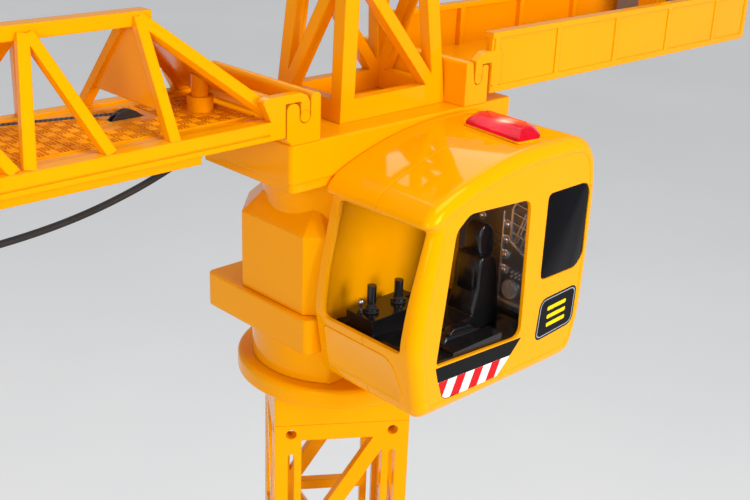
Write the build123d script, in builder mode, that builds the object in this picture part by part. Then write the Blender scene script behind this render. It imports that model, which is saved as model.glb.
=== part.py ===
from build123d import *
import math
import os

os.makedirs("parts", exist_ok=True)

# ---------------------------------------------------------------- dimensions
# Row frame: origin on the slewing axis at the floor, +X towards the jib tip,
# +Y towards the cab side, +Z up.  Z() turns a height above the slewing datum
# into a height above the floor.
SLEW_Z = 894.0


def Z(h):
    return SLEW_Z + h


MAST_TURN = -34.7          # how the mast stands, turned about the slewing axis
MAST_W = 70.0              # mast section width
MAST_WALL = 5.0
LEG_W = 14.0               # face width of one mast leg
SECTION_H = 234.0
BASE_TOP = 100.1
N_SECTIONS = 3

DISC_R, DISC_LO, DISC_HI = 51.6, -74.0, -64.2
TURN_R, TURN_LO, TURN_HI = 44.0, -63.9, -43.7
RING_TEETH, PINION_TEETH, GEAR_MODULE = 72, 12, 1.0
CAB_WALL_Y = 31.6          # the cab's inner wall
BODY_CUT_Y = 31.2          # everything beside the cab stops here

ARM_Y = -6.5               # centre plane of jib, counter-jib and tower head
ARM_HALF = 37.9
BEAM_LO, BEAM_HI, BEAM_W = 68.0, 76.3, 7.0
DECK_LO, DECK_HI = 73.2, 75.4
CHORD_Z = 119.5

JIB_X0, JIB_X1, JIB_X2, JIB_X3 = 62.0, 245.0, 433.0, 620.0
TROLLEY_X = 360.0
WHEEL_R, WHEEL_Z = 3.4, 69.4
SHEAVE_ROPE_R, SHEAVE_Z = 6.0, 60.5
FALL_HALF = 7.0
ROPE_R = 0.6
HOOK_Z = -780.0            # hook block sheave, hanging at its lowest
TIP_X = 610.0

CAB_Y0, CAB_Y1, CAB_T, CAB_SPLIT = 31.6, 97.6, 2.2, 64.0

# ---------------------------------------------------------------- helpers
_a = math.radians(MAST_TURN)
MAST = Plane(origin=(0, 0, 0), x_dir=(math.cos(_a), math.sin(_a), 0), z_dir=(0, 0, 1))


def mast_side(which, z):
    """Vertical sketch plane through the mast axis; sketch +Y is up."""
    ux = Vector(math.cos(_a), math.sin(_a), 0)
    uy = Vector(-math.sin(_a), math.cos(_a), 0)
    if which == 0:
        return Plane(origin=(0, 0, z), x_dir=uy, z_dir=ux)
    return Plane(origin=(0, 0, z), x_dir=ux * -1, z_dir=uy)


def xz(y):
    """Sketch plane at a given y: sketch X is row X, sketch Y is row Z, and
    extrude(amount=-a) grows towards +Y."""
    return Plane(origin=(0, y, 0), x_dir=(1, 0, 0), z_dir=(0, -1, 0))


def yz(x):
    """Sketch plane at a given x: sketch X is row Y, sketch Y is row Z."""
    return Plane(origin=(x, 0, 0), x_dir=(0, 1, 0), z_dir=(1, 0, 0))


def xy(z):
    return Plane(origin=(0, 0, z), x_dir=(1, 0, 0), z_dir=(0, 0, 1))


def poly(points):
    Polygon(*points, align=None)


def block(x0, x1, y0, y1, z0, z1, mode=Mode.ADD):
    with Locations(((x0 + x1) / 2, (y0 + y1) / 2, (z0 + z1) / 2)):
        Box(x1 - x0, y1 - y0, z1 - z0, mode=mode)


def rod(p, q, r, mode=Mode.ADD):
    p, q = Vector(*p), Vector(*q)
    d = q - p
    with Locations(Plane(origin=(p + q) * 0.5, z_dir=d).location):
        Cylinder(r, d.length, mode=mode)


def strut(p, q, w, t, side=(0, 1, 0), mode=Mode.ADD):
    """Rectangular bar from p to q, w wide along side and t thick."""
    p, q, s = Vector(*p), Vector(*q), Vector(*side)
    d = (q - p).normalized()
    s = s - d * s.dot(d)
    with Locations(Plane(origin=(p + q) * 0.5, x_dir=s, z_dir=d).location):
        Box(w, t, (q - p).length, mode=mode)


def gear_points(teeth, m, add, ded, backlash, phase=0.0, n=5):
    """Involute gear outline, with one tooth centred on angle phase."""
    rp = m * teeth / 2
    rb = rp * math.cos(math.radians(20))
    ra, rr = rp + add, rp - ded
    inv = lambda r: math.tan(math.acos(min(1, rb / r))) - math.acos(min(1, rb / r))
    half = math.pi / (2 * teeth) + inv(rp) - backlash / (2 * rp)
    pts = []
    r0 = max(rb, rr)
    for k in range(teeth):
        c = phase + 2 * math.pi * k / teeth
        flank = [(r0 + (ra - r0) * i / (n - 1)) for i in range(n)]
        lo = [(r, c - (half - inv(r))) for r in flank]
        hi = [(r, c + (half - inv(r))) for r in reversed(flank)]
        if rr < r0 - 1e-6:
            lo = [(rr, lo[0][1])] + lo
            hi = hi + [(rr, hi[-1][1])]
        pts += [(r * math.cos(t), r * math.sin(t)) for r, t in lo + hi]
    return pts


# ================================================================= TOWER
# Base: a square spider whose four arms lie along the mast's diagonals.
with BuildPart() as base_plate:
    with BuildSketch(MAST.offset(8)):
        Rectangle(300, 300)
        with GridLocations(190, 190, 2, 2):
            Rectangle(60, 60, mode=Mode.ADD)
    extrude(amount=12)
    fillet(base_plate.edges().filter_by(Axis.Z), radius=14)
    with BuildSketch(MAST.offset(20)):
        Rectangle(110, 110)
    extrude(amount=60, taper=8)
    with BuildSketch(MAST.offset(80)):
        Rectangle(82, 82)
    extrude(amount=BASE_TOP - 80)
    with BuildSketch(MAST.offset(60)):
        Rectangle(58, 58)
    extrude(amount=60, mode=Mode.SUBTRACT)
    for i in (-1, 1):
        for j in (-1, 1):
            c = MAST.from_local_coords(Vector(i * 95, j * 95, 0))
            with Locations((c.X, c.Y, 14)):
                Cylinder(7, 40, mode=Mode.ADD)
    with BuildSketch(MAST.offset(-20)):
        Rectangle(400, 400)
    extrude(amount=28, mode=Mode.SUBTRACT)
    # square socket that the first mast section stands in
    with BuildSketch(MAST.offset(BASE_TOP)):
        Rectangle(82, 82)
        Rectangle(MAST_W + 0.3, MAST_W + 0.3, mode=Mode.SUBTRACT)
    extrude(amount=12)
    # round pad under the middle, level with the feet
    with BuildSketch(xy(0)):
        Circle(45)
    extrude(amount=8)
base_plate.part.label = "base_plate"
export_step(base_plate.part, "parts/base_plate.step")

with BuildPart() as base_feet:
    for i in (-1, 1):
        for j in (-1, 1):
            c = MAST.from_local_coords(Vector(i * 122, j * 122, 0))
            with Locations((c.X, c.Y, 4)):
                Cylinder(17, 8)
    chamfer(base_feet.edges().group_by(Axis.Z)[0], length=1.2)
base_feet.part.label = "base_feet"
export_step(base_feet.part, "parts/base_feet.step")

# Ballast: four blocks dropped over the pegs of the base.
with BuildPart() as ballast_blocks:
    for i in (-1, 1):
        for j in (-1, 1):
            c = MAST.from_local_coords(Vector(i * 95, j * 95, 20.2))
            with BuildSketch(Plane(origin=c, x_dir=MAST.x_dir, z_dir=(0, 0, 1))):
                RectangleRounded(66, 66, 5)
                Circle(7.3, mode=Mode.SUBTRACT)
            extrude(amount=34)
    chamfer(ballast_blocks.edges().group_by(Axis.Z)[-1].filter_by(GeomType.LINE), length=1.5)
ballast_blocks.part.label = "ballast_blocks"
export_step(ballast_blocks.part, "parts/ballast_blocks.step")

# Mast sections: square lattice boxes with diagonals and pin holes.
for k in range(N_SECTIONS):
    z0 = BASE_TOP + k * SECTION_H + 0.05
    hh = SECTION_H - 0.1
    with BuildPart() as mast_section:
        with BuildSketch(MAST.offset(z0)):
            Rectangle(MAST_W, MAST_W)
            Rectangle(MAST_W - 2 * MAST_WALL, MAST_W - 2 * MAST_WALL, mode=Mode.SUBTRACT)
        extrude(amount=hh)
        # spigot that plugs into the piece above
        inner = MAST_W - 2 * MAST_WALL
        with BuildSketch(MAST.offset(z0 + hh - 10)):
            Rectangle(inner, inner)
            Rectangle(inner - 6, inner - 6, mode=Mode.SUBTRACT)
        extrude(amount=10)
        with BuildSketch(MAST.offset(z0 + hh)):
            Rectangle(inner - 0.4, inner - 0.4)
            Rectangle(inner - 6, inner - 6, mode=Mode.SUBTRACT)
        extrude(amount=9.5)
        wx = MAST_W / 2 - LEG_W
        bays = 3
        bay = (hh - 18 - 6 * (bays - 1)) / bays
        for side in (0, 1):
            with BuildSketch(mast_side(side, z0)):
                for b in range(bays):
                    a0 = 9 + b * (bay + 6)
                    a1 = a0 + bay
                    s = 1 if (b + side) % 2 == 0 else -1
                    L = math.hypot(2 * wx, bay)
                    ox, oz = 4 * L / bay, 4 * L / (2 * wx)
                    poly([(-s * wx, a0), (s * (wx - ox), a0), (-s * wx, a1 - oz)])
                    poly([(s * wx, a1), (-s * (wx - ox), a1), (s * wx, a0 + oz)])
            extrude(amount=60, both=True, mode=Mode.SUBTRACT)
            with BuildSketch(mast_side(side, z0)):
                with Locations(*[(x, z) for x in (-26.4, 26.4) for z in (5.3, hh - 5.3, hh + 5.4)]):
                    Circle(2.7)
                with Locations(*[(x, hh / 2) for x in (-26.4, 26.4)]):
                    SlotOverall(hh - 34, 3.2, rotation=90)
            extrude(amount=60, both=True, mode=Mode.SUBTRACT)
    mast_section.part.label = f"mast_section_{k + 1}"
    export_step(mast_section.part, f"parts/mast_section_{k + 1}.step")

# Mast head: square skirt, round slewing disc, fixed ring gear and centre bush.
MAST_TOP = BASE_TOP + N_SECTIONS * SECTION_H
with BuildPart() as mast_head:
    with BuildSketch(MAST.offset(MAST_TOP + 0.05)):
        Rectangle(MAST_W, MAST_W)
        Rectangle(MAST_W - 2 * MAST_WALL, MAST_W - 2 * MAST_WALL, mode=Mode.SUBTRACT)
    extrude(amount=Z(DISC_LO) - MAST_TOP - 0.05)
    with BuildSketch(xy(Z(DISC_LO))):
        Circle(DISC_R)
    extrude(amount=DISC_HI - DISC_LO)
    fillet(mast_head.edges().filter_by(GeomType.CIRCLE).group_by(Axis.Z)[-1], radius=2.6)
    fillet(mast_head.edges().filter_by(GeomType.CIRCLE).group_by(Axis.Z)[0], radius=1.2)
    with BuildSketch(xy(Z(DISC_LO + 2.2))):
        with BuildLine():
            Polyline(*gear_points(RING_TEETH, GEAR_MODULE, 1.15, 0.8, -0.22), close=True)
        make_face()
    extrude(amount=20, mode=Mode.SUBTRACT)
    with BuildSketch(xy(Z(-90))):
        Circle(13)
    extrude(amount=90 - 65.0)
    with BuildSketch(xy(Z(-95))):
        Circle(8.05)
    extrude(amount=60, mode=Mode.SUBTRACT)
mast_head.part.label = "mast_head"
export_step(mast_head.part, "parts/mast_head.step")

# ================================================================= SLEWING UNIT
PIN_X = -30.0
with BuildPart() as turntable:
    with BuildSketch(xy(Z(TURN_LO))):
        Circle(TURN_R)
    extrude(amount=TURN_HI - TURN_LO)
    with BuildSketch(xy(Z(TURN_LO + 3))):
        Circle(TURN_R - 3)
    extrude(amount=40, mode=Mode.SUBTRACT)
    with BuildSketch(xy(Z(-88))):
        Circle(8.0)
    extrude(amount=88 - 50)
    block(-60, 60, BODY_CUT_Y, 60, Z(-70), Z(-40), mode=Mode.SUBTRACT)
    block(-32.5, 32.5, BODY_CUT_Y - 2.4, BODY_CUT_Y, Z(TURN_LO), Z(TURN_HI))
    with BuildSketch(xy(Z(-95))):
        Circle(4)
        with Locations((PIN_X, 0)):
            Circle(2.05)
    extrude(amount=60, mode=Mode.SUBTRACT)
turntable.part.label = "turntable"
export_step(turntable.part, "parts/turntable.step")

with BuildPart() as slew_pinion:
    with BuildSketch(Plane(origin=(PIN_X, 0, Z(-71.2)), x_dir=(1, 0, 0), z_dir=(0, 0, 1))):
        with BuildLine():
            Polyline(*gear_points(PINION_TEETH, GEAR_MODULE, 0.8, 1.0, 0.12), close=True)
        make_face()
    extrude(amount=6.4)
    with BuildSketch(Plane(origin=(PIN_X, 0, Z(-71.2)), x_dir=(1, 0, 0), z_dir=(0, 0, 1))):
        Circle(2.0)
    extrude(amount=71.2 - 56.0)
slew_pinion.part.label = "slew_pinion"
export_step(slew_pinion.part, "parts/slew_pinion.step")

with BuildPart() as slew_motor:
    block(PIN_X - 10, PIN_X + 14, -9, 9, Z(-55.6), Z(-44))
    with BuildSketch(Plane(origin=(PIN_X + 4, 0, Z(-44)), x_dir=(1, 0, 0), z_dir=(0, 0, 1))):
        Circle(7.6)
    extrude(amount=17)
    with BuildSketch(Plane(origin=(PIN_X + 4, 0, Z(-27)), x_dir=(1, 0, 0), z_dir=(0, 0, 1))):
        Circle(3)
    extrude(amount=1.6)
slew_motor.part.label = "slew_motor"
export_step(slew_motor.part, "parts/slew_motor.step")

with BuildPart() as slew_plate:
    with BuildSketch(xy(Z(-43.4))):
        with BuildLine():
            Polyline((-72, -49.8), (46.9, -49.8), (46.9, BODY_CUT_Y), (-72, BODY_CUT_Y), close=True)
        make_face()
    extrude(amount=17.9)
    fillet(slew_plate.edges().filter_by(Axis.Z), radius=4)
    fillet(slew_plate.edges().group_by(Axis.Z)[-1], radius=1.0)
    block(PIN_X - 12, 20, -20, 20, Z(-45), Z(-20), mode=Mode.SUBTRACT)
slew_plate.part.label = "slew_plate"
export_step(slew_plate.part, "parts/slew_plate.step")

# Housing: eight-sided motor and battery case that runs up into the round neck.
OCT = [(43.7, -23.3), (43.7, 23.3), (35.8, BODY_CUT_Y), (-35.8, BODY_CUT_Y),
       (-43.7, 23.3), (-43.7, -23.3), (-23.3, -43.7), (23.3, -43.7)]
NECK_R = 38.3
with BuildPart() as housing:
    with BuildSketch(xy(Z(-25.2))):
        poly(OCT)
    extrude(amount=39.8)
    with BuildSketch(xy(Z(14.6))):
        poly(OCT)
    extrude(amount=11.5, taper=45)
    with BuildSketch(xy(Z(10))):
        Circle(NECK_R)
    extrude(amount=40.6 - 10)
    block(-60, 60, BODY_CUT_Y, 60, Z(-30), Z(60), mode=Mode.SUBTRACT)
    with BuildSketch(xy(Z(-25.2))):
        poly(OCT)
        offset(amount=-2.4, mode=Mode.REPLACE)
    extrude(amount=37.4, mode=Mode.SUBTRACT)
    with BuildSketch(xy(Z(12.1))):
        Circle(NECK_R - 5)
        with Locations((0, 50)):
            Rectangle(120, 43, mode=Mode.SUBTRACT)
    extrude(amount=40, mode=Mode.SUBTRACT)
    block(-50, -40, -17, 17, Z(-20), Z(10), mode=Mode.SUBTRACT)
housing.part.label = "housing"
export_step(housing.part, "parts/housing.step")

with BuildPart() as battery_cover:
    block(-45.7, -43.75, -21, 21, Z(-24), Z(14))
    fillet(battery_cover.edges().filter_by(Axis.X), radius=3)
    block(-43.75, -41.4, -16.7, 16.7, Z(-19.7), Z(9.7))
    with Locations(*[Location((-45.7, 0, z), (0, -90, 0)) for z in (Z(-21.9), Z(11.9))]):
        Hole(1.1, depth=3)
battery_cover.part.label = "battery_cover"
export_step(battery_cover.part, "parts/battery_cover.step")

with BuildPart() as cover_screws:
    for z in (Z(-21.9), Z(11.9)):
        rod((-45.68, 0, z), (-43.9, 0, z), 1.0)
        rod((-46.6, 0, z), (-45.72, 0, z), 2.0)
        rod((-45.75, 0, z), (-45.65, 0, z), 1.0)
        block(-46.7, -46.1, -1.3, 1.3, z - 0.3, z + 0.3, mode=Mode.SUBTRACT)
        block(-46.7, -46.1, -0.3, 0.3, z - 1.3, z + 1.3, mode=Mode.SUBTRACT)
cover_screws.part.label = "cover_screws"
export_step(cover_screws.part, "parts/cover_screws.step")

with BuildPart() as battery_pack:
    for z in (-16.5, -2.2):
        for x in (-31.0, -16.7):
            rod((x, -25, Z(z)), (x, 25, Z(z)), 7.1)
    block(-31, -16.7, -24, 24, Z(-16), Z(-3))
battery_pack.part.label = "battery_pack"
export_step(battery_pack.part, "parts/battery_pack.step")

# Platform: shallow box that carries tower head, jib and counter-jib.
PX0, PX1, PY0, PY1 = -92.9, 57.4, -44.4, 31.2
with BuildPart() as platform:
    with BuildSketch(xy(Z(45.2))):
        with Locations(((PX0 + PX1) / 2, (PY0 + PY1) / 2)):
            RectangleRounded(PX1 - PX0, PY1 - PY0, 3.0)
    extrude(amount=18.4)
    fillet(platform.edges().group_by(Axis.Z)[-1], radius=1.2)
    with BuildSketch(xy(Z(45.2))):
        with Locations(((PX0 + PX1) / 2, (PY0 + PY1) / 2)):
            Rectangle(PX1 - PX0 - 5, PY1 - PY0 - 5)
    extrude(amount=15.8, mode=Mode.SUBTRACT)
    with BuildSketch(xy(Z(40.8))):
        with Locations(((PX0 + PX1) / 2, (PY0 + PY1) / 2 + 3.4)):
            RectangleRounded(PX1 - PX0 - 1.6, PY1 - PY0 - 8.0, 3.0)
        Circle(NECK_R - 5, mode=Mode.SUBTRACT)
    extrude(amount=4.4)
    block(1, 13, PY0 - 10, PY0, Z(46.5), Z(58.5))
    rod((-1, PY0 - 5.6, Z(52.5)), (15, PY0 - 5.6, Z(52.5)), 1.8, mode=Mode.SUBTRACT)
    rod((13, PY0 - 5.6, Z(52.5)), (17, PY0 - 5.6, Z(52.5)), 3.4)
    rod((3, PY0 - 5.6, Z(52.5)), (17.1, PY0 - 5.6, Z(52.5)), 1.8, mode=Mode.SUBTRACT)
    # switch slot in the counter-jib end
    block(PX0 - 1, PX0 + 3, -20, -6, Z(50), Z(58), mode=Mode.SUBTRACT)
platform.part.label = "platform"
export_step(platform.part, "parts/platform.step")

with BuildPart() as power_switch:
    block(PX0 - 2.2, PX0 + 6, -18.7, -12.7, Z(50.6), Z(57.4))
    with Locations(*[(PX0 - 2.2, -15.7 + d, Z(54)) for d in (-1.8, 0, 1.8)]):
        Box(1.0, 0.7, 6.8, mode=Mode.SUBTRACT)
power_switch.part.label = "power_switch"
export_step(power_switch.part, "parts/power_switch.step")

# Arm brackets: wall, open groove for the hinge pin and a low outer lip.
AY0, AY1 = ARM_Y - ARM_HALF, ARM_Y + ARM_HALF
JPX, JPZ, JPR = 49.9, 76.0, 2.8
with BuildPart() as jib_bracket:
    with BuildSketch(xz(AY0)):
        poly([(41.0, Z(63.65)), (57.2, Z(63.65)), (60.3, Z(66.5)), (60.3, Z(82.5)),
              (53.2, Z(82.5)), (53.2, Z(JPZ)), (46.6, Z(JPZ)), (46.6, Z(86)), (41.0, Z(86))])
    extrude(amount=-(AY1 - AY0 - 0.2))
    fillet(jib_bracket.edges().filter_by(Axis.Y).filter_by(lambda e: abs(e.center().Z - Z(82.5)) < 0.01), radius=3.2)
    fillet(jib_bracket.edges().filter_by(Axis.Y).filter_by(lambda e: abs(e.center().Z - Z(86)) < 0.01), radius=2.6)
    rod((JPX, AY0 - 2, Z(JPZ)), (JPX, AY1 + 2, Z(JPZ)), 3.2, mode=Mode.SUBTRACT)
jib_bracket.part.label = "jib_bracket"
export_step(jib_bracket.part, "parts/jib_bracket.step")

CPX, CPZ, CPR = -64.6, 76.6, 2.5
with BuildPart() as counter_jib_bracket:
    with BuildSketch(xz(AY0)):
        poly([(-55.2, Z(63.65)), (-55.2, Z(86.4)), (-60.1, Z(86.4)), (-61.5, Z(CPZ)),
              (-67.6, Z(CPZ)), (-67.6, Z(83.4)), (-72.2, Z(83.4)), (-72.2, Z(63.65))])
    extrude(amount=-(AY1 - AY0 - 0.2))
    fillet(counter_jib_bracket.edges().filter_by(Axis.Y).filter_by(lambda e: abs(e.center().Z - Z(83.4)) < 0.01), radius=1.9)
    fillet(counter_jib_bracket.edges().filter_by(Axis.Y).filter_by(lambda e: abs(e.center().Z - Z(86.4)) < 0.01), radius=2.2)
    rod((CPX, AY0 - 2, Z(CPZ)), (CPX, AY1 + 2, Z(CPZ)), 2.9, mode=Mode.SUBTRACT)
counter_jib_bracket.part.label = "counter_jib_bracket"
export_step(counter_jib_bracket.part, "parts/counter_jib_bracket.step")

with BuildPart() as arm_hinge_pins:
    rod((JPX, AY0 + 0.1, Z(JPZ)), (JPX, AY1 - 0.1, Z(JPZ)), JPR)
    rod((CPX, AY0 + 0.1, Z(CPZ)), (CPX, AY1 - 0.1, Z(CPZ)), CPR)
arm_hinge_pins.part.label = "arm_hinge_pins"
export_step(arm_hinge_pins.part, "parts/arm_hinge_pins.step")

# Tower head: tapering lattice with a head block for the tie bar pin.
HX0, HX1, HY0, HY1 = -55.1, 16.8, -30.5, 17.5
HXC, HYC = (HX0 + HX1) / 2, (HY0 + HY1) / 2
HEAD_LO, HEAD_HI = 63.65, 340.0
TX, TY = 12.0, 8.0         # half widths at the top
HEAD_PIN_Z = 366.0
bx, by = (HX1 - HX0) / 2, (HY1 - HY0) / 2


def head_half(z, b, t):
    return b + (t - b) * (z - HEAD_LO) / (HEAD_HI - HEAD_LO)


with BuildPart() as tower_head:
    with BuildSketch(xz(HYC)):
        poly([(HXC - bx, Z(HEAD_LO)), (HXC + bx, Z(HEAD_LO)), (HXC + TX, Z(HEAD_HI)), (HXC - TX, Z(HEAD_HI))])
    extrude(amount=by + 5, both=True)
    with BuildSketch(yz(HXC)):
        poly([(HYC - by, Z(HEAD_LO)), (HYC + by, Z(HEAD_LO)), (HYC + TY, Z(HEAD_HI)), (HYC - TY, Z(HEAD_HI))])
    extrude(amount=bx + 5, both=True, mode=Mode.INTERSECT)
    with BuildSketch(xy(Z(HEAD_LO - 0.1))):
        with Locations((HXC, HYC)):
            Rectangle(2 * bx - 13, 2 * by - 13)
    with BuildSketch(xy(Z(HEAD_HI - 12))):
        with Locations((HXC, HYC)):
            Rectangle(2 * TX - 11, 2 * TY - 8)
    loft(mode=Mode.SUBTRACT)
    levels = [74.2, 136.0, 198.0, 252.0, 300.0, 330.0]
    for axis in (0, 1):
        with BuildSketch(xz(HYC) if axis == 0 else yz(HXC)):
            for i in range(len(levels) - 1):
                a0 = levels[i] + (0 if i == 0 else 3)
                a1 = levels[i + 1] - 3
                leg = 8.6 if axis == 0 else 7.0
                c = HXC if axis == 0 else HYC
                w0 = head_half(a0, bx, TX) - leg if axis == 0 else head_half(a0, by, TY) - leg
                w1 = head_half(a1, bx, TX) - leg if axis == 0 else head_half(a1, by, TY) - leg
                if min(w0, w1) < 1.5:
                    continue
                s = -1 if i % 2 == 0 else 1
                hw = 3.2 if min(w0, w1) > 8 else 1.6
                L = math.hypot(w0 + w1, a1 - a0)
                ox, oz = hw * L / (a1 - a0), hw * L / (w0 + w1)
                if 2 * min(w0, w1) < 2 * ox + 2:
                    poly([(c - w0, Z(a0)), (c + w0, Z(a0)), (c + w1, Z(a1)), (c - w1, Z(a1))])
                else:
                    poly([(c - s * w0, Z(a0)), (c + s * (w0 - ox), Z(a0)), (c - s * w1, Z(a1 - oz))])
                    poly([(c + s * w1, Z(a1)), (c - s * (w1 - ox), Z(a1)), (c + s * w0, Z(a0 + oz))])
        extrude(amount=60, both=True, mode=Mode.SUBTRACT)
    block(HXC - TX + 1, HXC + TX - 1, HYC - 5.5, HYC + 5.5, Z(HEAD_HI - 12), Z(378))
    rod((HXC, HYC - 12, Z(HEAD_PIN_Z)), (HXC, HYC + 12, Z(HEAD_PIN_Z)), 2.4)
tower_head.part.label = "tower_head"
export_step(tower_head.part, "parts/tower_head.step")

# ================================================================= JIB
NEAR_IN, NEAR_OUT = AY1 - BEAM_W, AY1
FAR_IN, FAR_OUT = AY0 + BEAM_W, AY0
APEX = (109.0, ARM_Y, CHORD_Z)


def jib_frame(x0, x1):
    """Side beams with their groove, deck and top chord of one jib section."""
    for y0, y1 in ((NEAR_IN, NEAR_OUT), (FAR_OUT, FAR_IN)):
        block(x0, x1, y0, y1, Z(BEAM_LO), Z(BEAM_HI))
    block(x0, x1, FAR_IN - 0.5, NEAR_IN + 0.5, Z(DECK_LO), Z(DECK_HI))
    for y in (NEAR_OUT, FAR_OUT):
        block(x0 - 1, x1 + 1, y - 0.6, y + 0.6, Z(70.2), Z(71.0), mode=Mode.SUBTRACT)


def side_strut(xa, za, xb, zb, w=5.0, t=3.6):
    """One truss bar on both leaning sides; heights set how far in it leans."""
    def y_at(z, s):
        f = (z - BEAM_HI) / (CHORD_Z - BEAM_HI)
        return ARM_Y + s * (ARM_HALF - 3.4 + (3.4 - (ARM_HALF - 3.4)) * f)
    for s in (1, -1):
        p = (xa, y_at(za, s), Z(za))
        q = (xb, y_at(zb, s), Z(zb))
        n = Vector(0, CHORD_Z - BEAM_HI, s * (ARM_HALF - 6.8))
        d = (Vector(*q) - Vector(*p)).normalized()
        strut(p, q, w, t, side=tuple(n.cross(d)))


with BuildPart() as jib_root_section:
    jib_frame(JIB_X0, JIB_X1 - 0.15)
    block(105, JIB_X1 - 0.15, ARM_Y - 4, ARM_Y + 4, Z(CHORD_Z - 3), Z(CHORD_Z + 3))
    # folded root hood: two triangular plates with rims that meet in a ridge
    for (xa, za, xb, zb, wa) in ((66.5, 79.4, 110.5, 118.2, 31.0), (115.8, 86.0, 111.6, 118.5, 26.5)):
        d = Vector(xb - xa, 0, zb - za)
        n = Vector(0, 1, 0).cross(d.normalized())
        with BuildSketch(Plane(origin=(xa, ARM_Y, Z(za)), x_dir=(0, 1, 0), z_dir=n)):
            poly([(-wa, 0), (wa, 0), (3.6, d.length), (-3.6, d.length)])
        extrude(amount=1.0, both=True)
    side_strut(65.0, 78.05, 112.0, CHORD_Z, 5.8, 4.0)
    side_strut(117.2, 75.0, 111.5, CHORD_Z, 5.0, 4.0)
    nodes = [142.0, 182.0, 242.0]
    for i in range(len(nodes) - 1):
        mid = (nodes[i] + nodes[i + 1]) / 2
        side_strut(nodes[i] + 4, 75.5, mid - 1, CHORD_Z - 1)
        side_strut(nodes[i + 1] - 2, 75.5, mid + 1, CHORD_Z - 1)
    # ears that hook over the bracket's lip and onto the hinge pin
    for y0, y1 in ((AY1 - 4.4, AY1), (AY0, AY0 + 4.4)):
        with BuildSketch(xz(y0)):
            poly([(61.2, Z(68)), (70.0, Z(70.0)), (69.2, Z(76.4)), (73.6, Z(85.2)), (72.6, Z(86.3)), (70.0, Z(87.0)), (52.6, Z(87.0)), (49.0, Z(85.2)),
                  (47.3, Z(82.0)), (47.3, Z(76.2)), (52.5, Z(76.2)), (52.5, Z(83.0)), (61.2, Z(83.0))])
            with Locations((JPX, Z(JPZ))):
                Circle(JPR + 0.02, mode=Mode.SUBTRACT)
        extrude(amount=-(y1 - y0))
    # socket for the post, rope anchor and opening for the root sheave
    with BuildSketch(xy(Z(DECK_HI - 0.5))):
        with Locations((79.0, ARM_Y)):
            Circle(5.9)
    extrude(amount=7.3)
    block(104, 121, ARM_Y - 10.2, ARM_Y - 5.8, Z(70), Z(80), mode=Mode.SUBTRACT)
    block(105, 120, ARM_Y - 12.2, ARM_Y - 10.2, Z(64.5), Z(74))
    rod((112.5, ARM_Y - 11.0, Z(70)), (112.5, ARM_Y - 5.9, Z(70)), 1.5)
    block(124, 130, ARM_Y - 2.5, ARM_Y + 2.5, Z(67.3), Z(74))
    # the post's own hole
    with BuildSketch(xy(Z(76.2))):
        with Locations((79.0, ARM_Y)):
            Circle(3.95)
    extrude(amount=14, mode=Mode.SUBTRACT)
jib_root_section.part.label = "jib_root_section"
export_step(jib_root_section.part, "parts/jib_root_section.step")

# Post: stands in the deck socket and props the root hood.
with BuildPart() as jib_post:
    with BuildSketch(xy(Z(76.4))):
        with Locations((79.0, ARM_Y)):
            Circle(3.9)
    extrude(amount=20.0)
    with BuildSketch(xz(-30)):
        poly([(67.3, Z(78.5)), (97.3, Z(104.9)), (97.3, Z(120)), (60, Z(120)), (60, Z(78.5))])
    extrude(amount=-50, mode=Mode.SUBTRACT)
jib_post.part.label = "jib_post"
export_step(jib_post.part, "parts/jib_post.step")

with BuildPart() as jib_middle_section:
    jib_frame(JIB_X1 + 0.15, JIB_X2 - 0.15)
    block(JIB_X1 + 0.15, JIB_X2 - 0.15, ARM_Y - 4, ARM_Y + 4, Z(CHORD_Z - 3), Z(CHORD_Z + 3))
    nodes = [248.0, 309.5, 370.5, 430.0]
    for i in range(len(nodes) - 1):
        mid = (nodes[i] + nodes[i + 1]) / 2
        side_strut(nodes[i] + 1, 75.5, mid - 1, CHORD_Z - 1)
        side_strut(nodes[i + 1] - 1, 75.5, mid + 1, CHORD_Z - 1)
    # socket block for the power lead's plug, on the far beam
    block(354.0, 366.0, FAR_OUT - 10.5, FAR_OUT, Z(52.5), Z(76.3))
    rod((353, PY0 - 5.6, Z(58.5)), (361, PY0 - 5.6, Z(58.5)), 2.05, mode=Mode.SUBTRACT)
jib_middle_section.part.label = "jib_middle_section"
export_step(jib_middle_section.part, "parts/jib_middle_section.step")

with BuildPart() as jib_tip_section:
    jib_frame(JIB_X2 + 0.15, 590.0)
    block(JIB_X2 + 0.15, 578.0, ARM_Y - 4, ARM_Y + 4, Z(CHORD_Z - 3), Z(CHORD_Z + 3))
    nodes = [436.0, 497.5, 558.5]
    for i in range(len(nodes) - 1):
        mid = (nodes[i] + nodes[i + 1]) / 2
        side_strut(nodes[i] + 1, 75.5, mid - 1, CHORD_Z - 1)
        side_strut(nodes[i + 1] - 1, 75.5, mid + 1, CHORD_Z - 1)
    side_strut(560.0, 75.5, 574.0, CHORD_Z - 1)
    side_strut(587.0, 75.5, 576.0, CHORD_Z - 1)
    # end cheeks that carry the tip sheaves
    block(584.0, 590.0, FAR_OUT, NEAR_OUT, Z(BEAM_LO), Z(BEAM_HI))
    for y in (ARM_Y - 13.0, ARM_Y - 4.0, ARM_Y + 5.0):
        block(586.0, JIB_X3, y - 1.2, y + 1.2, Z(66.0), Z(92.0))
    rod((TIP_X, ARM_Y - 14.2, Z(78.5)), (TIP_X, ARM_Y + 6.2, Z(78.5)), 2.0)
jib_tip_section.part.label = "jib_tip_section"
export_step(jib_tip_section.part, "parts/jib_tip_section.step")

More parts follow.
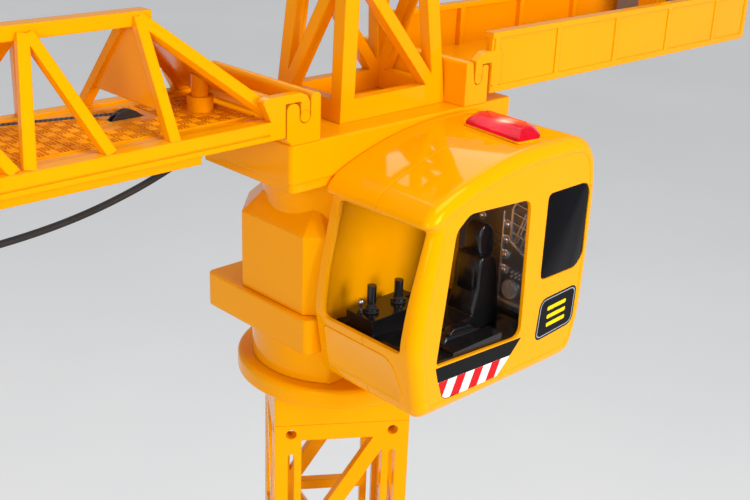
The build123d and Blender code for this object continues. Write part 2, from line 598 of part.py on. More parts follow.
# Rails under the jib for the trolley.
RAIL_OUT = ARM_HALF - 4.4
with BuildPart() as jib_rails:
    for s in (1, -1):
        ya, yb = sorted((ARM_Y + s * RAIL_OUT, ARM_Y + s * (RAIL_OUT - 11.5)))
        block(102.5, 586.0, ya, yb, Z(63.0), Z(65.9))
        ya, yb = sorted((ARM_Y + s * RAIL_OUT, ARM_Y + s * (RAIL_OUT - 2.3)))
        block(102.5, 583.8, ya, yb, Z(65.0), Z(67.95))
jib_rails.part.label = "jib_rails"
export_step(jib_rails.part, "parts/jib_rails.step")

# Tie bars: flat bars from the head pin to jib and counter-jib.
TIE_JIB = ((244.0, CHORD_Z + 7.5), (432.0, CHORD_Z + 7.5))
TIE_CJ = (-276.0, 103.0)
with BuildPart() as tie_bars:
    for s in (1, -1):
        for i, (x, z) in enumerate((TIE_JIB[0], TIE_JIB[1], TIE_CJ)):
            y = HYC + s * (7.4 + (2.4 if i == 1 else 0))
            if i == 2:
                y = HYC + s * 9.8
            strut((HXC, y, Z(HEAD_PIN_Z)), (x, y, Z(z)), 2.0, 5.0, side=(0, 1, 0))
            for ex, ez in ((HXC, HEAD_PIN_Z), (x, z)):
                rod((ex, y - 1.0, Z(ez)), (ex, y + 1.0, Z(ez)), 4.6)
    rod((HXC, HYC - 20, Z(HEAD_PIN_Z)), (HXC, HYC + 20, Z(HEAD_PIN_Z)), 2.45, mode=Mode.SUBTRACT)
    for x, z in (TIE_JIB[0], TIE_JIB[1], TIE_CJ):
        rod((x, HYC - 20, Z(z)), (x, HYC + 20, Z(z)), 2.05, mode=Mode.SUBTRACT)
tie_bars.part.label = "tie_bars"
export_step(tie_bars.part, "parts/tie_bars.step")

with BuildPart() as tie_lugs:
    for (x, z) in TIE_JIB:
        block(x - 5, x + 0.6, HYC - 3.5, HYC + 3.5, Z(CHORD_Z + 3.05), Z(z + 4))
        rod((x, HYC - 12, Z(z)), (x, HYC + 12, Z(z)), 2.0)
tie_lugs.part.label = "tie_lugs"
export_step(tie_lugs.part, "parts/tie_lugs.step")

# ================================================================= COUNTER-JIB
CJ0, CJ1 = -74.0, -330.0
with BuildPart() as counter_jib:
    for y0, y1 in ((AY1 - 3.0, AY1 - 0.6), (AY0 + 0.6, AY0 + 3.0)):
        block(CJ1, CJ0, y0, y1, Z(68.3), Z(98.0))
    for y0, y1 in ((AY1 - 6.0, AY1), (AY0, AY0 + 6.0)):
        block(CJ1, CJ0, y0, y1, Z(68.0), Z(71.4))
        block(CJ1, CJ0, y0, y1, Z(96.0), Z(99.0))
        for x in (-78.0, -129.0, -183.0, -237.0, -291.0, -328.0):
            block(x - 2.0, x + 2.0, y0, y1, Z(70), Z(97))
    block(CJ1, CJ0, AY0 + 2, AY1 - 2, Z(72.0), Z(74.4))
    block(CJ1, CJ1 + 3, AY0 + 1, AY1 - 1, Z(68.3), Z(98))
    # ears onto the hinge pin
    for y0, y1 in ((AY1 - 4.4, AY1), (AY0, AY0 + 4.4)):
        with BuildSketch(xz(y0)):
            poly([(-74.2, Z(72)), (-82.0, Z(72)), (-82.0, Z(90.0)), (-68.0, Z(90.0)), (-62.2, Z(86.0)),
                  (-61.9, Z(CPZ + 0.3)), (-67.2, Z(CPZ + 0.3)), (-67.2, Z(84.0)), (-74.2, Z(84.0))])
            with Locations((CPX, Z(CPZ))):
                Circle(CPR + 0.02, mode=Mode.SUBTRACT)
        extrude(amount=-(y1 - y0))
    # tie post
    block(-282, -270, HYC - 6.5, HYC + 6.5, Z(74), Z(108))
    rod((TIE_CJ[0], HYC - 13, Z(TIE_CJ[1])), (TIE_CJ[0], HYC + 13, Z(TIE_CJ[1])), 2.0)
counter_jib.part.label = "counter_jib"
export_step(counter_jib.part, "parts/counter_jib.step")

with BuildPart() as counterweights:
    for x in (-290.0, -304.5, -319.0):
        with BuildSketch(yz(x - 6.8)):
            poly([(AY0 + 6.4, Z(74.6)), (AY1 - 6.4, Z(74.6)), (AY1 - 6.4, Z(100)), (AY1 - 12, Z(120)), (AY0 + 12, Z(120)), (AY0 + 6.4, Z(100))])
        extrude(amount=13.6)
counterweights.part.label = "counterweights"
export_step(counterweights.part, "parts/counterweights.step")

# ================================================================= DRIVE BOX
DX0, DX1, DYH = 268.0, 334.0, 20.6
HDX, TDX, DRUM_Z = 317.0, 284.0, 84.6
DRUM_R = 4.6               # to the rope's centre
# (drum position, side of the arm's centre plane that its drum lies on)
WINCHES = ((HDX, 1), (TDX, -1))
with BuildPart() as drive_box:
    block(DX0, DX1, ARM_Y - DYH, ARM_Y + DYH, Z(DECK_HI + 0.05), Z(77.4))
    for x, s in WINCHES:
        for y in (s * 18.2, 0.0):
            block(x - 6.5, x + 6.5, ARM_Y + y - 0.8, ARM_Y + y + 0.8, Z(77.0), Z(DRUM_Z + 2.6))
        rod((x, ARM_Y - s * 1.2, Z(DRUM_Z)), (x, ARM_Y + s * 22, Z(DRUM_Z)), 1.55, mode=Mode.SUBTRACT)
drive_box.part.label = "drive_box"
export_step(drive_box.part, "parts/drive_box.step")

with BuildPart() as drive_box_cover:
    with BuildSketch(yz(DX0)):
        poly([(ARM_Y - DYH, Z(77.5)), (ARM_Y + DYH, Z(77.5)), (ARM_Y + DYH, Z(88)), (ARM_Y + 16.5, Z(94.5)), (ARM_Y - 16.5, Z(94.5)), (ARM_Y - DYH, Z(88))])
    extrude(amount=DX1 - DX0)
    with BuildSketch(yz(DX0 + 1.6)):
        poly([(ARM_Y - DYH + 1.2, Z(77.4)), (ARM_Y + DYH - 1.2, Z(77.4)), (ARM_Y + DYH - 1.2, Z(87.6)), (ARM_Y + 15.9, Z(93.3)), (ARM_Y - 15.9, Z(93.3)), (ARM_Y - DYH + 1.2, Z(87.6))])
    extrude(amount=DX1 - DX0 - 3.2, mode=Mode.SUBTRACT)
    # rope slots in the two ends
    block(DX1 - 5, DX1 + 5, ARM_Y + 2.5, ARM_Y + 15, Z(87.4), Z(91.4), mode=Mode.SUBTRACT)
    block(DX1 - 5, DX1 + 5, ARM_Y - 8.2, ARM_Y - 3.2, Z(87.8), Z(91.8), mode=Mode.SUBTRACT)
    block(DX0 - 5, DX0 + 5, ARM_Y - 12.6, ARM_Y - 7.6, Z(86.2), Z(90.4), mode=Mode.SUBTRACT)
drive_box_cover.part.label = "drive_box_cover"
export_step(drive_box_cover.part, "parts/drive_box_cover.step")


def drum(x, s):
    """Flanged drum on its own shaft, on side s of the arm's centre plane."""
    rod((x, ARM_Y + s * 1.4, Z(DRUM_Z)), (x, ARM_Y + s * 15.4, Z(DRUM_Z)), DRUM_R - ROPE_R)
    for y0, y1 in ((1.2, 2.2), (15.2, 16.2)):
        rod((x, ARM_Y + s * y0, Z(DRUM_Z)), (x, ARM_Y + s * y1, Z(DRUM_Z)), 6.2)
    rod((x, ARM_Y - s * 1.2, Z(DRUM_Z)), (x, ARM_Y + s * 19.0, Z(DRUM_Z)), 1.5)


with BuildPart() as hoist_drum:
    drum(*WINCHES[0])
hoist_drum.part.label = "hoist_drum"
export_step(hoist_drum.part, "parts/hoist_drum.step")

with BuildPart() as trolley_drum:
    drum(*WINCHES[1])
trolley_drum.part.label = "trolley_drum"
export_step(trolley_drum.part, "parts/trolley_drum.step")


def gearmotor(x, s):
    """Gear case and round motor, in line with the drum it turns."""
    ya, yb = sorted((ARM_Y - s * 9.5, ARM_Y - s * 1.5))
    block(x - 6, x + 6, ya, yb, Z(79.0), Z(88.4))
    rod((x, ARM_Y - s * 17.2, Z(DRUM_Z - 0.6)), (x, ARM_Y - s * 9.5, Z(DRUM_Z - 0.6)), 4.6)
    rod((x, ARM_Y - s * 18.2, Z(DRUM_Z - 0.6)), (x, ARM_Y - s * 17.2, Z(DRUM_Z - 0.6)), 1.6)


with BuildPart() as hoist_motor:
    gearmotor(*WINCHES[0])
hoist_motor.part.label = "hoist_motor"
export_step(hoist_motor.part, "parts/hoist_motor.step")

with BuildPart() as trolley_motor:
    gearmotor(*WINCHES[1])
trolley_motor.part.label = "trolley_motor"
export_step(trolley_motor.part, "parts/trolley_motor.step")

# ================================================================= ROPES ON THE JIB
HOIST_TOP, HOIST_LOW = 78.5 + 12.0, 78.5 - 12.0


def arc_tube(xc, y, zc, r, a0, a1):
    """Rope wrapped round a sheave, from angle a0 to a1 in the XZ plane."""
    with BuildLine() as ln:
        ThreePointArc(*[(xc + r * math.cos(math.radians(a)), y, Z(zc) + r * math.sin(math.radians(a)))
                        for a in (a0, (a0 + a1) / 2, a1)])
    with BuildSketch(Plane(origin=ln.line @ 0, z_dir=ln.line % 0)) as sk:
        Circle(ROPE_R)
    sweep(sk.sketch, path=ln.line)


WRAP = DRUM_R + 0.12
with BuildPart() as hoist_rope:
    rod((HDX, ARM_Y + 7.0, Z(DRUM_Z + WRAP)), (TIP_X, ARM_Y + 0.5, Z(HOIST_TOP)), ROPE_R)
    arc_tube(TIP_X, ARM_Y + 0.5, 78.5, 12.0, 90, -90)
    rod((130.2, ARM_Y + 0.5, Z(HOIST_LOW)), (TIP_X, ARM_Y + 0.5, Z(HOIST_LOW)), ROPE_R)
    rod((130.2, ARM_Y + 0.5, Z(HOIST_LOW)), (131.4, ARM_Y + 0.5, Z(HOIST_LOW)), 1.3)
hoist_rope.part.label = "hoist_rope"
export_step(hoist_rope.part, "parts/hoist_rope.step")

ROOT_R, TROL_Y = 7.5, ARM_Y - 8.0
TRL_LOW = 62.5
TIP2_R = 16.0
with BuildPart() as trolley_rope:
    rod((112.5, TROL_Y, Z(70 + ROOT_R)), (TDX, ARM_Y - 10.5, Z(DRUM_Z + WRAP)), ROPE_R)
    arc_tube(112.5, TROL_Y, 70, ROOT_R, 90, 270)
    rod((112.5, TROL_Y, Z(TRL_LOW)), (TIP_X, TROL_Y, Z(TRL_LOW)), ROPE_R)
    arc_tube(TIP_X, TROL_Y, 78.5, TIP2_R, -90, 90)
    rod((TDX, ARM_Y - 5.5, Z(DRUM_Z + WRAP)), (TIP_X, TROL_Y, Z(78.5 + TIP2_R)), ROPE_R)
trolley_rope.part.label = "trolley_rope"
export_step(trolley_rope.part, "parts/trolley_rope.step")


def sheave(x, y, z, r_rope, bore, width=3.4, rim=1.6):
    """Grooved wheel: revolve a vee-grooved rim, then bore it."""
    with BuildSketch(Plane(origin=(x, y, Z(z)), x_dir=(0, 1, 0), z_dir=(1, 0, 0))) as sk:
        R, g, w = r_rope + rim, r_rope - ROPE_R - 0.05, width / 2
        poly([(-w, bore), (w, bore), (w, R), (w - 0.5, R), (0.75, g), (-0.75, g), (-w + 0.5, R), (-w, R)])
    revolve(sk.sketch, axis=Axis((x, y, Z(z)), (0, 1, 0)))
    # lightening holes show that it turns
    with BuildSketch(Plane(origin=(x, y - width, Z(z)), x_dir=(1, 0, 0), z_dir=(0, 1, 0))) as holes:
        with PolarLocations((bore + r_rope) / 2, 4, start_angle=45):
            Circle((r_rope - bore) * 0.22)
    extrude(holes.sketch, amount=2 * width, mode=Mode.SUBTRACT)


with BuildPart() as tip_sheave_hoist:
    sheave(TIP_X, ARM_Y + 0.5, 78.5, 12.0, 2.06)
tip_sheave_hoist.part.label = "tip_sheave_hoist"
export_step(tip_sheave_hoist.part, "parts/tip_sheave_hoist.step")

with BuildPart() as tip_sheave_trolley:
    sheave(TIP_X, TROL_Y, 78.5, 16.0, 2.06)
tip_sheave_trolley.part.label = "tip_sheave_trolley"
export_step(tip_sheave_trolley.part, "parts/tip_sheave_trolley.step")

with BuildPart() as root_sheave:
    sheave(112.5, TROL_Y, 70, ROOT_R, 1.56)
root_sheave.part.label = "root_sheave"
export_step(root_sheave.part, "parts/root_sheave.step")

# ================================================================= TROLLEY AND HOOK
SHX = FALL_HALF + SHEAVE_ROPE_R      # sheave centres each side of the trolley
AXX = 24.0
with BuildPart() as trolley_frame:
    for s in (1, -1):
        ya, yb = sorted((ARM_Y + s * 12.5, ARM_Y + s * 10.0))
        with BuildSketch(xz(ya)):
            poly([(TROLLEY_X - 28, Z(72.0)), (TROLLEY_X - 20, Z(72.0)), (TROLLEY_X - 17, Z(64.6)), (TROLLEY_X + 17, Z(64.6)), (TROLLEY_X + 20, Z(72.0)),
                  (TROLLEY_X + 28, Z(72.0)), (TROLLEY_X + 28, Z(62)), (TROLLEY_X + 20, Z(53)), (TROLLEY_X - 20, Z(53)), (TROLLEY_X - 28, Z(62))])
        extrude(amount=-(yb - ya))
    for s in (1, -1):
        block(TROLLEY_X + s * 25 - 1.2, TROLLEY_X + s * 25 + 1.2, ARM_Y - 12, ARM_Y + 12, Z(58.5), Z(64.6))
        rod((TROLLEY_X + s * SHX, ARM_Y - 12, Z(SHEAVE_Z)), (TROLLEY_X + s * SHX, ARM_Y + 12, Z(SHEAVE_Z)), 1.5)
        rod((TROLLEY_X + s * SHX, ARM_Y - 10.2, Z(SHEAVE_Z)), (TROLLEY_X + s * SHX, ARM_Y - 1.9, Z(SHEAVE_Z)), 2.6)
        rod((TROLLEY_X + s * SHX, ARM_Y + 2.9, Z(SHEAVE_Z)), (TROLLEY_X + s * SHX, ARM_Y + 10.2, Z(SHEAVE_Z)), 2.6)
        rod((TROLLEY_X + s * 28, TROL_Y, Z(TRL_LOW)), (TROLLEY_X + s * 22, TROL_Y, Z(TRL_LOW)), 1.2, mode=Mode.SUBTRACT)
    rod((TROLLEY_X - 30, TROL_Y, Z(TRL_LOW)), (TROLLEY_X + 30, TROL_Y, Z(TRL_LOW)), 1.2, mode=Mode.SUBTRACT)
    for s in (1, -1):
        rod((TROLLEY_X + s * AXX, ARM_Y - 14, Z(WHEEL_Z)), (TROLLEY_X + s * AXX, ARM_Y + 14, Z(WHEEL_Z)), 1.05, mode=Mode.SUBTRACT)
trolley_frame.part.label = "trolley_frame"
export_step(trolley_frame.part, "parts/trolley_frame.step")

for tag, s in (("inner", -1), ("outer", 1)):
    with BuildPart() as trolley_sheave:
        sheave(TROLLEY_X + s * SHX, ARM_Y + 0.5, SHEAVE_Z, SHEAVE_ROPE_R, 1.56)
    trolley_sheave.part.label = f"trolley_sheave_{tag}"
    export_step(trolley_sheave.part, f"parts/trolley_sheave_{tag}.step")

for tag, s in (("rear", -1), ("front", 1)):
    with BuildPart() as trolley_wheels:
        x = TROLLEY_X + s * AXX
        rod((x, ARM_Y - 27.5, Z(WHEEL_Z)), (x, ARM_Y + 27.5, Z(WHEEL_Z)), 1.0)
        for t in (1, -1):
            rod((x, ARM_Y + t * 23.0, Z(WHEEL_Z)), (x, ARM_Y + t * 27.5, Z(WHEEL_Z)), WHEEL_R)
            rod((x, ARM_Y + t * 21.4, Z(WHEEL_Z)), (x, ARM_Y + t * 23.0, Z(WHEEL_Z)), 2.0)
    trolley_wheels.part.label = f"trolley_wheels_{tag}"
    export_step(trolley_wheels.part, f"parts/trolley_wheels_{tag}.step")

FALL_TOP = SHEAVE_Z
with BuildPart() as hoist_rope_falls:
    for s in (1, -1):
        rod((TROLLEY_X + s * FALL_HALF, ARM_Y + 0.5, Z(HOOK_Z)), (TROLLEY_X + s * FALL_HALF, ARM_Y + 0.5, Z(FALL_TOP)), ROPE_R)
hoist_rope_falls.part.label = "hoist_rope_falls"
export_step(hoist_rope_falls.part, "parts/hoist_rope_falls.step")

HY = ARM_Y + 0.5
with BuildPart() as hook_block:
    for s in (1, -1):
        ya, yb = sorted((HY + s * 4.6, HY + s * 2.3))
        with BuildSketch(xz(ya)):
            poly([(TROLLEY_X - 9, Z(HOOK_Z + 9)), (TROLLEY_X + 9, Z(HOOK_Z + 9)), (TROLLEY_X + 13, Z(HOOK_Z)), (TROLLEY_X + 11, Z(HOOK_Z - 13)),
                  (TROLLEY_X + 5, Z(HOOK_Z - 22)), (TROLLEY_X - 5, Z(HOOK_Z - 22)), (TROLLEY_X - 11, Z(HOOK_Z - 13)), (TROLLEY_X - 13, Z(HOOK_Z))])
        extrude(amount=-(yb - ya))
    block(TROLLEY_X - 5, TROLLEY_X + 5, HY - 3, HY + 3, Z(HOOK_Z - 22), Z(HOOK_Z - 14))
    rod((TROLLEY_X, HY - 5.6, Z(HOOK_Z)), (TROLLEY_X, HY + 5.6, Z(HOOK_Z)), 1.5)
    rod((TROLLEY_X, HY, Z(HOOK_Z - 30)), (TROLLEY_X, HY, Z(HOOK_Z - 12)), 2.05, mode=Mode.SUBTRACT)
    rod((TROLLEY_X, HY, Z(HOOK_Z - 17.4)), (TROLLEY_X, HY, Z(HOOK_Z - 12)), 3.3, mode=Mode.SUBTRACT)
hook_block.part.label = "hook_block"
export_step(hook_block.part, "parts/hook_block.step")

with BuildPart() as hook_sheave:
    sheave(TROLLEY_X, HY, HOOK_Z, FALL_HALF, 1.56)
hook_sheave.part.label = "hook_sheave"
export_step(hook_sheave.part, "parts/hook_sheave.step")

# Hook: shank with a head held in the block, round bowl and tapered tip.
with BuildPart() as hook:
    rod((TROLLEY_X, HY, Z(HOOK_Z - 33)), (TROLLEY_X, HY, Z(HOOK_Z - 14.5)), 2.0)
    rod((TROLLEY_X, HY, Z(HOOK_Z - 17.3)), (TROLLEY_X, HY, Z(HOOK_Z - 14.5)), 3.1)
    rod((TROLLEY_X, HY, Z(HOOK_Z - 31)), (TROLLEY_X, HY, Z(HOOK_Z - 22.4)), 3.4)
    bowl = (TROLLEY_X, HY, Z(HOOK_Z - 44.5))
    with BuildSketch(Plane(origin=(TROLLEY_X, HY, Z(HOOK_Z - 34)), x_dir=(0, 1, 0), z_dir=(1, 0, 0))):
        Circle(3.0)
    revolve(axis=Axis(bowl, (0, 1, 0)), revolution_arc=258)
    with Locations((bowl[0] + 10.5 * math.sin(math.radians(258)), HY, bowl[2] + 10.5 * math.cos(math.radians(258)))):
        Sphere(3.0)
hook.part.label = "hook"
export_step(hook.part, "parts/hook.step")

# ================================================================= CAB
CAB_PROFILE = [(37.0, -53.0), (43.3, -18.0), (41.2, 1.0), (36.9, 20.0), (33.2, 36.6), (37.6, 38.2),
               (36.6, 42.0), (31.5, 47.0), (17.0, 52.6), (4.0, 56.4), (-10.0, 59.6), (-26.0, 61.6), (-40.0, 62.2),
               (-66.0, 62.0), (-76.0, 57.2), (-81.6, 47.0), (-83.2, 26.0), (-82.4, -12.0), (-81.2, -34.0), (-76.4, -51.0),
               (-71.5, -55.2), (-60.0, -55.6), (26.0, -54.6), (32.5, -54.4)]


def cab_profile(inset=0.0):
    Polygon(*[(x, Z(z)) for x, z in CAB_PROFILE], align=None)
    if inset:
        offset(amount=-inset, mode=Mode.REPLACE)


with BuildPart() as cab_full:
    with BuildSketch(xz(CAB_Y0)):
        cab_profile()
    extrude(amount=-(CAB_Y1 - CAB_Y0))
    outer = cab_full.faces().sort_by(Axis.Y)[-1]
    chamfer(outer.edges(), length=2.4)
    inner = cab_full.faces().sort_by(Axis.Y)[0]
    chamfer(inner.edges(), length=1.2)
    with BuildSketch(xz(CAB_Y0 + CAB_T)):
        cab_profile(CAB_T + 0.4)
    extrude(amount=-(CAB_Y1 - CAB_Y0 - 2 * CAB_T), mode=Mode.SUBTRACT)
    # windscreen opening
    with BuildSketch(yz(20)):
        poly([(37.4, Z(-21.0)), (88.6, Z(-21.2)), (92.2, Z(36.2)), (37.4, Z(36.2))])
    extrude(amount=40, mode=Mode.SUBTRACT)
    # side window opening
    with BuildSketch(xz(90)):
        poly([(27.9, Z(-28.6)), (19.8, Z(34.0)), (11.5, Z(40.6)), (-28.0, Z(38.4)), (-31.0, Z(35.4)), (-31.8, Z(-29.0)), (-29.0, Z(-32.2))])
    extrude(amount=-20, mode=Mode.SUBTRACT)
    # recess for the rear window panel
    with BuildSketch(xz(CAB_Y1 - 0.8)):
        poly([(-44.0, Z(37.8)), (-73.0, Z(37.8)), (-76.0, Z(34.0)), (-76.0, Z(-1.0)), (-71.0, Z(-6.0)), (-45.0, Z(-6.0)), (-43.6, Z(-4.0))])
    extrude(amount=-3, mode=Mode.SUBTRACT)

with BuildPart() as cab_shell_inner:
    add(cab_full.part)
    block(-120, 120, CAB_SPLIT - 0.05, 140, Z(-100), Z(100), mode=Mode.SUBTRACT)
cab_shell_inner.part.label = "cab_shell_inner"
export_step(cab_shell_inner.part, "parts/cab_shell_inner.step")

with BuildPart() as cab_shell_outer:
    add(cab_full.part)
    block(-120, 120, 0, CAB_SPLIT + 0.05, Z(-100), Z(100), mode=Mode.SUBTRACT)
cab_shell_outer.part.label = "cab_shell_outer"
export_step(cab_shell_outer.part, "parts/cab_shell_outer.step")

with BuildPart() as cab_side_panel:
    with BuildSketch(xz(CAB_Y1 - 0.75)):
        poly([(-44.0, Z(37.8)), (-73.0, Z(37.8)), (-76.0, Z(34.0)), (-76.0, Z(-1.0)), (-71.0, Z(-6.0)), (-45.0, Z(-6.0)), (-43.6, Z(-4.0))])
        offset(amount=-0.15, mode=Mode.REPLACE)
    extrude(amount=-0.65)
cab_side_panel.part.label = "cab_side_panel"
export_step(cab_side_panel.part, "parts/cab_side_panel.step")

IY0, IY1 = CAB_Y0 + CAB_T + 0.3, CAB_Y1 - CAB_T - 0.3
with BuildPart() as cab_floor:
    with BuildSketch(xz(IY0)):
        poly([(-54, Z(-51.5)), (29.5, Z(-51.0)), (36.0, Z(-30.0)), (30, Z(-27.0)), (6, Z(-30)), (4, Z(-34)), (-54, Z(-34))])
    extrude(amount=-(IY1 - IY0))
    block(-1, 31, 41.0, 59.0, Z(-36), Z(-19.5))
    block(-14, 8, IY0, 41.5, Z(-36), Z(-24))
    block(-20, 14, IY1 - 9, IY1, Z(-36), Z(-27))
cab_floor.part.label = "cab_floor"
export_step(cab_floor.part, "parts/cab_floor.step")

with BuildPart() as cab_joysticks:
    for x, y, top in ((23.4, 50.0, -6.0), (5.3, 50.0, -8.0)):
        rod((x, y, Z(-19.4)), (x, y, Z(top)), 1.3)
        rod((x, y, Z(top - 9.0)), (x, y, Z(top)), 2.2)
        rod((x, y, Z(-19.45)), (x, y, Z(-17.5)), 3.6)
cab_joysticks.part.label = "cab_joysticks"
export_step(cab_joysticks.part, "parts/cab_joysticks.step")

with BuildPart() as cab_seat:
    with BuildSketch(xz(54.0)):
        poly([(-4, Z(-33.8)), (-2, Z(-27)), (-6, Z(-24.5)), (-26, Z(-26.5)), (-33, Z(-8)), (-36, Z(8)), (-35, Z(13)), (-37, Z(22)),
              (-43, Z(22)), (-44.5, Z(8)), (-42, Z(-8)), (-38, Z(-33.8))])
    extrude(amount=-26)
    fillet(cab_seat.edges().filter_by(Axis.Y), radius=1.2)
cab_seat.part.label = "cab_seat"
export_step(cab_seat.part, "parts/cab_seat.step")

with BuildPart() as cab_rear_panel:
    block(-57.5, -55.0, IY0, IY1, Z(-51.5), Z(57.5))
    block(-55.0, -54.2, IY0 + 8, IY1 - 8, Z(0), Z(45))
    with Locations(*[(-54.4, IY0 + 12, Z(z)) for z in (-8, -18, -28)]):
        Sphere(2.0)
    with Locations(*[(-54.4, IY1 - 12, Z(z)) for z in (-8, -18, -28)]):
        Sphere(2.0)
cab_rear_panel.part.label = "cab_rear_panel"
export_step(cab_rear_panel.part, "parts/cab_rear_panel.step")

# Beacon: long faceted lens on the roof.
BEACON = [(-33.0, 49.5), (-46.5, 44.0), (-58.0, 46.5), (-55.5, 78.0), (-45.0, 88.5), (-30.5, 86.5)]
with BuildPart() as beacon_lens:
    with BuildSketch(xy(Z(62.3))):
        poly(BEACON)
    with BuildSketch(xy(Z(64.4))):
        poly(BEACON)
    loft()
    with BuildSketch(xy(Z(64.4))):
        poly(BEACON)
    with BuildSketch(xy(Z(69.0))):
        poly([(-44.5 + (x + 44.5) * 0.42, 66.0 + (y - 66.0) * 0.62) for x, y in BEACON])
    loft()
beacon_lens.part.label = "beacon_lens"
export_step(beacon_lens.part, "parts/beacon_lens.step")

# ================================================================= POWER LEAD
LEAD_R = 1.75
LY = PY0 - 5.6
LEAD = [(17.2, LY, 52.5), (32.0, LY, 51.4), (53.0, LY - 0.2, 39.6), (84.0, LY - 0.5, 27.8), (122.0, LY - 0.9, 19.0),
        (164.0, LY - 1.1, 15.6), (206.0, LY - 0.9, 16.8), (246.0, LY - 0.6, 23.6), (280.0, LY - 0.4, 34.6),
        (303.0, LY - 0.2, 48.0), (318.5, LY, 58.5), (335.0, LY, 58.5)]
pts = [Vector(x, y, Z(z)) for x, y, z in LEAD]
radii = []
for i in range(1, len(pts) - 1):
    u, v = pts[i] - pts[i - 1], pts[i + 1] - pts[i]
    turn = math.radians(u.get_angle(v))
    radii.append(0.45 * min(u.length, v.length) / math.tan(turn / 2))
with BuildPart() as power_lead:
    with BuildLine() as lead_path:
        FilletPolyline(*pts, radius=radii)
    with BuildSketch(Plane(origin=pts[0], z_dir=pts[1] - pts[0])):
        Circle(LEAD_R)
    sweep(path=lead_path.line)
power_lead.part.label = "power_lead"
export_step(power_lead.part, "parts/power_lead.step")
lead_wire = lead_path.wires()[0]
print("lead length", round(lead_wire.length, 1), "volume ratio",
      round(power_lead.part.volume / (math.pi * LEAD_R ** 2 * lead_wire.length), 4))

with BuildPart() as lead_plug:
    d = (pts[-1] - pts[-2]).normalized()
    a = pts[-1] + d * 0.02
    b = Vector(354.0 - 0.05, LY, Z(58.5))
    with BuildSketch(yz(335.05 + 5)):
        with Locations((LY, Z(58.5))):
            RectangleRounded(7.4, 7.4, 1.6)
    extrude(amount=13.8)
    with BuildSketch(yz(335.05)):
        with Locations((LY, Z(58.5))):
            Circle(2.6)
    with BuildSketch(yz(340.1)):
        with Locations((LY, Z(58.5))):
            Circle(3.3)
    loft()
    rod((353.8, LY, Z(58.5)), (360.0, LY, Z(58.5)), 2.0)
lead_plug.part.label = "lead_plug"
export_step(lead_plug.part, "parts/lead_plug.step")
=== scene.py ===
import math

import bmesh
import bpy
import numpy as np
from mathutils import Matrix, Vector


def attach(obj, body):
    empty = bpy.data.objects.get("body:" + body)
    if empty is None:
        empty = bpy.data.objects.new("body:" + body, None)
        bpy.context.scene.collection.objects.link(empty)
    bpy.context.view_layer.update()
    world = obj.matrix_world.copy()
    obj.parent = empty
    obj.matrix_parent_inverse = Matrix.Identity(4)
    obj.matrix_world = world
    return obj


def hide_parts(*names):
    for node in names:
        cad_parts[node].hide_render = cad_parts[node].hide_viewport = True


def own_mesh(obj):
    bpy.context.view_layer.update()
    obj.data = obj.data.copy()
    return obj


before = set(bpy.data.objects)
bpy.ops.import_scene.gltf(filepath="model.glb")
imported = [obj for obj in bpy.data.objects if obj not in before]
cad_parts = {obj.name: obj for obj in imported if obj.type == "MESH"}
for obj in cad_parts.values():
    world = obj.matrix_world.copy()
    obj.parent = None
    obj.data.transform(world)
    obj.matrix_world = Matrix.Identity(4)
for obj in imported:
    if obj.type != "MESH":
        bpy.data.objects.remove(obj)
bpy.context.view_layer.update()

MM = 0.001
SLEW = 894.0
ARM_Y = -6.5
TX, HY = 360.0, -6.0
scene = bpy.context.scene


def pt(x, y, z):
    """Millimetres above the slewing datum to metres in the row frame."""
    return Vector((x * MM, y * MM, (z + SLEW) * MM))


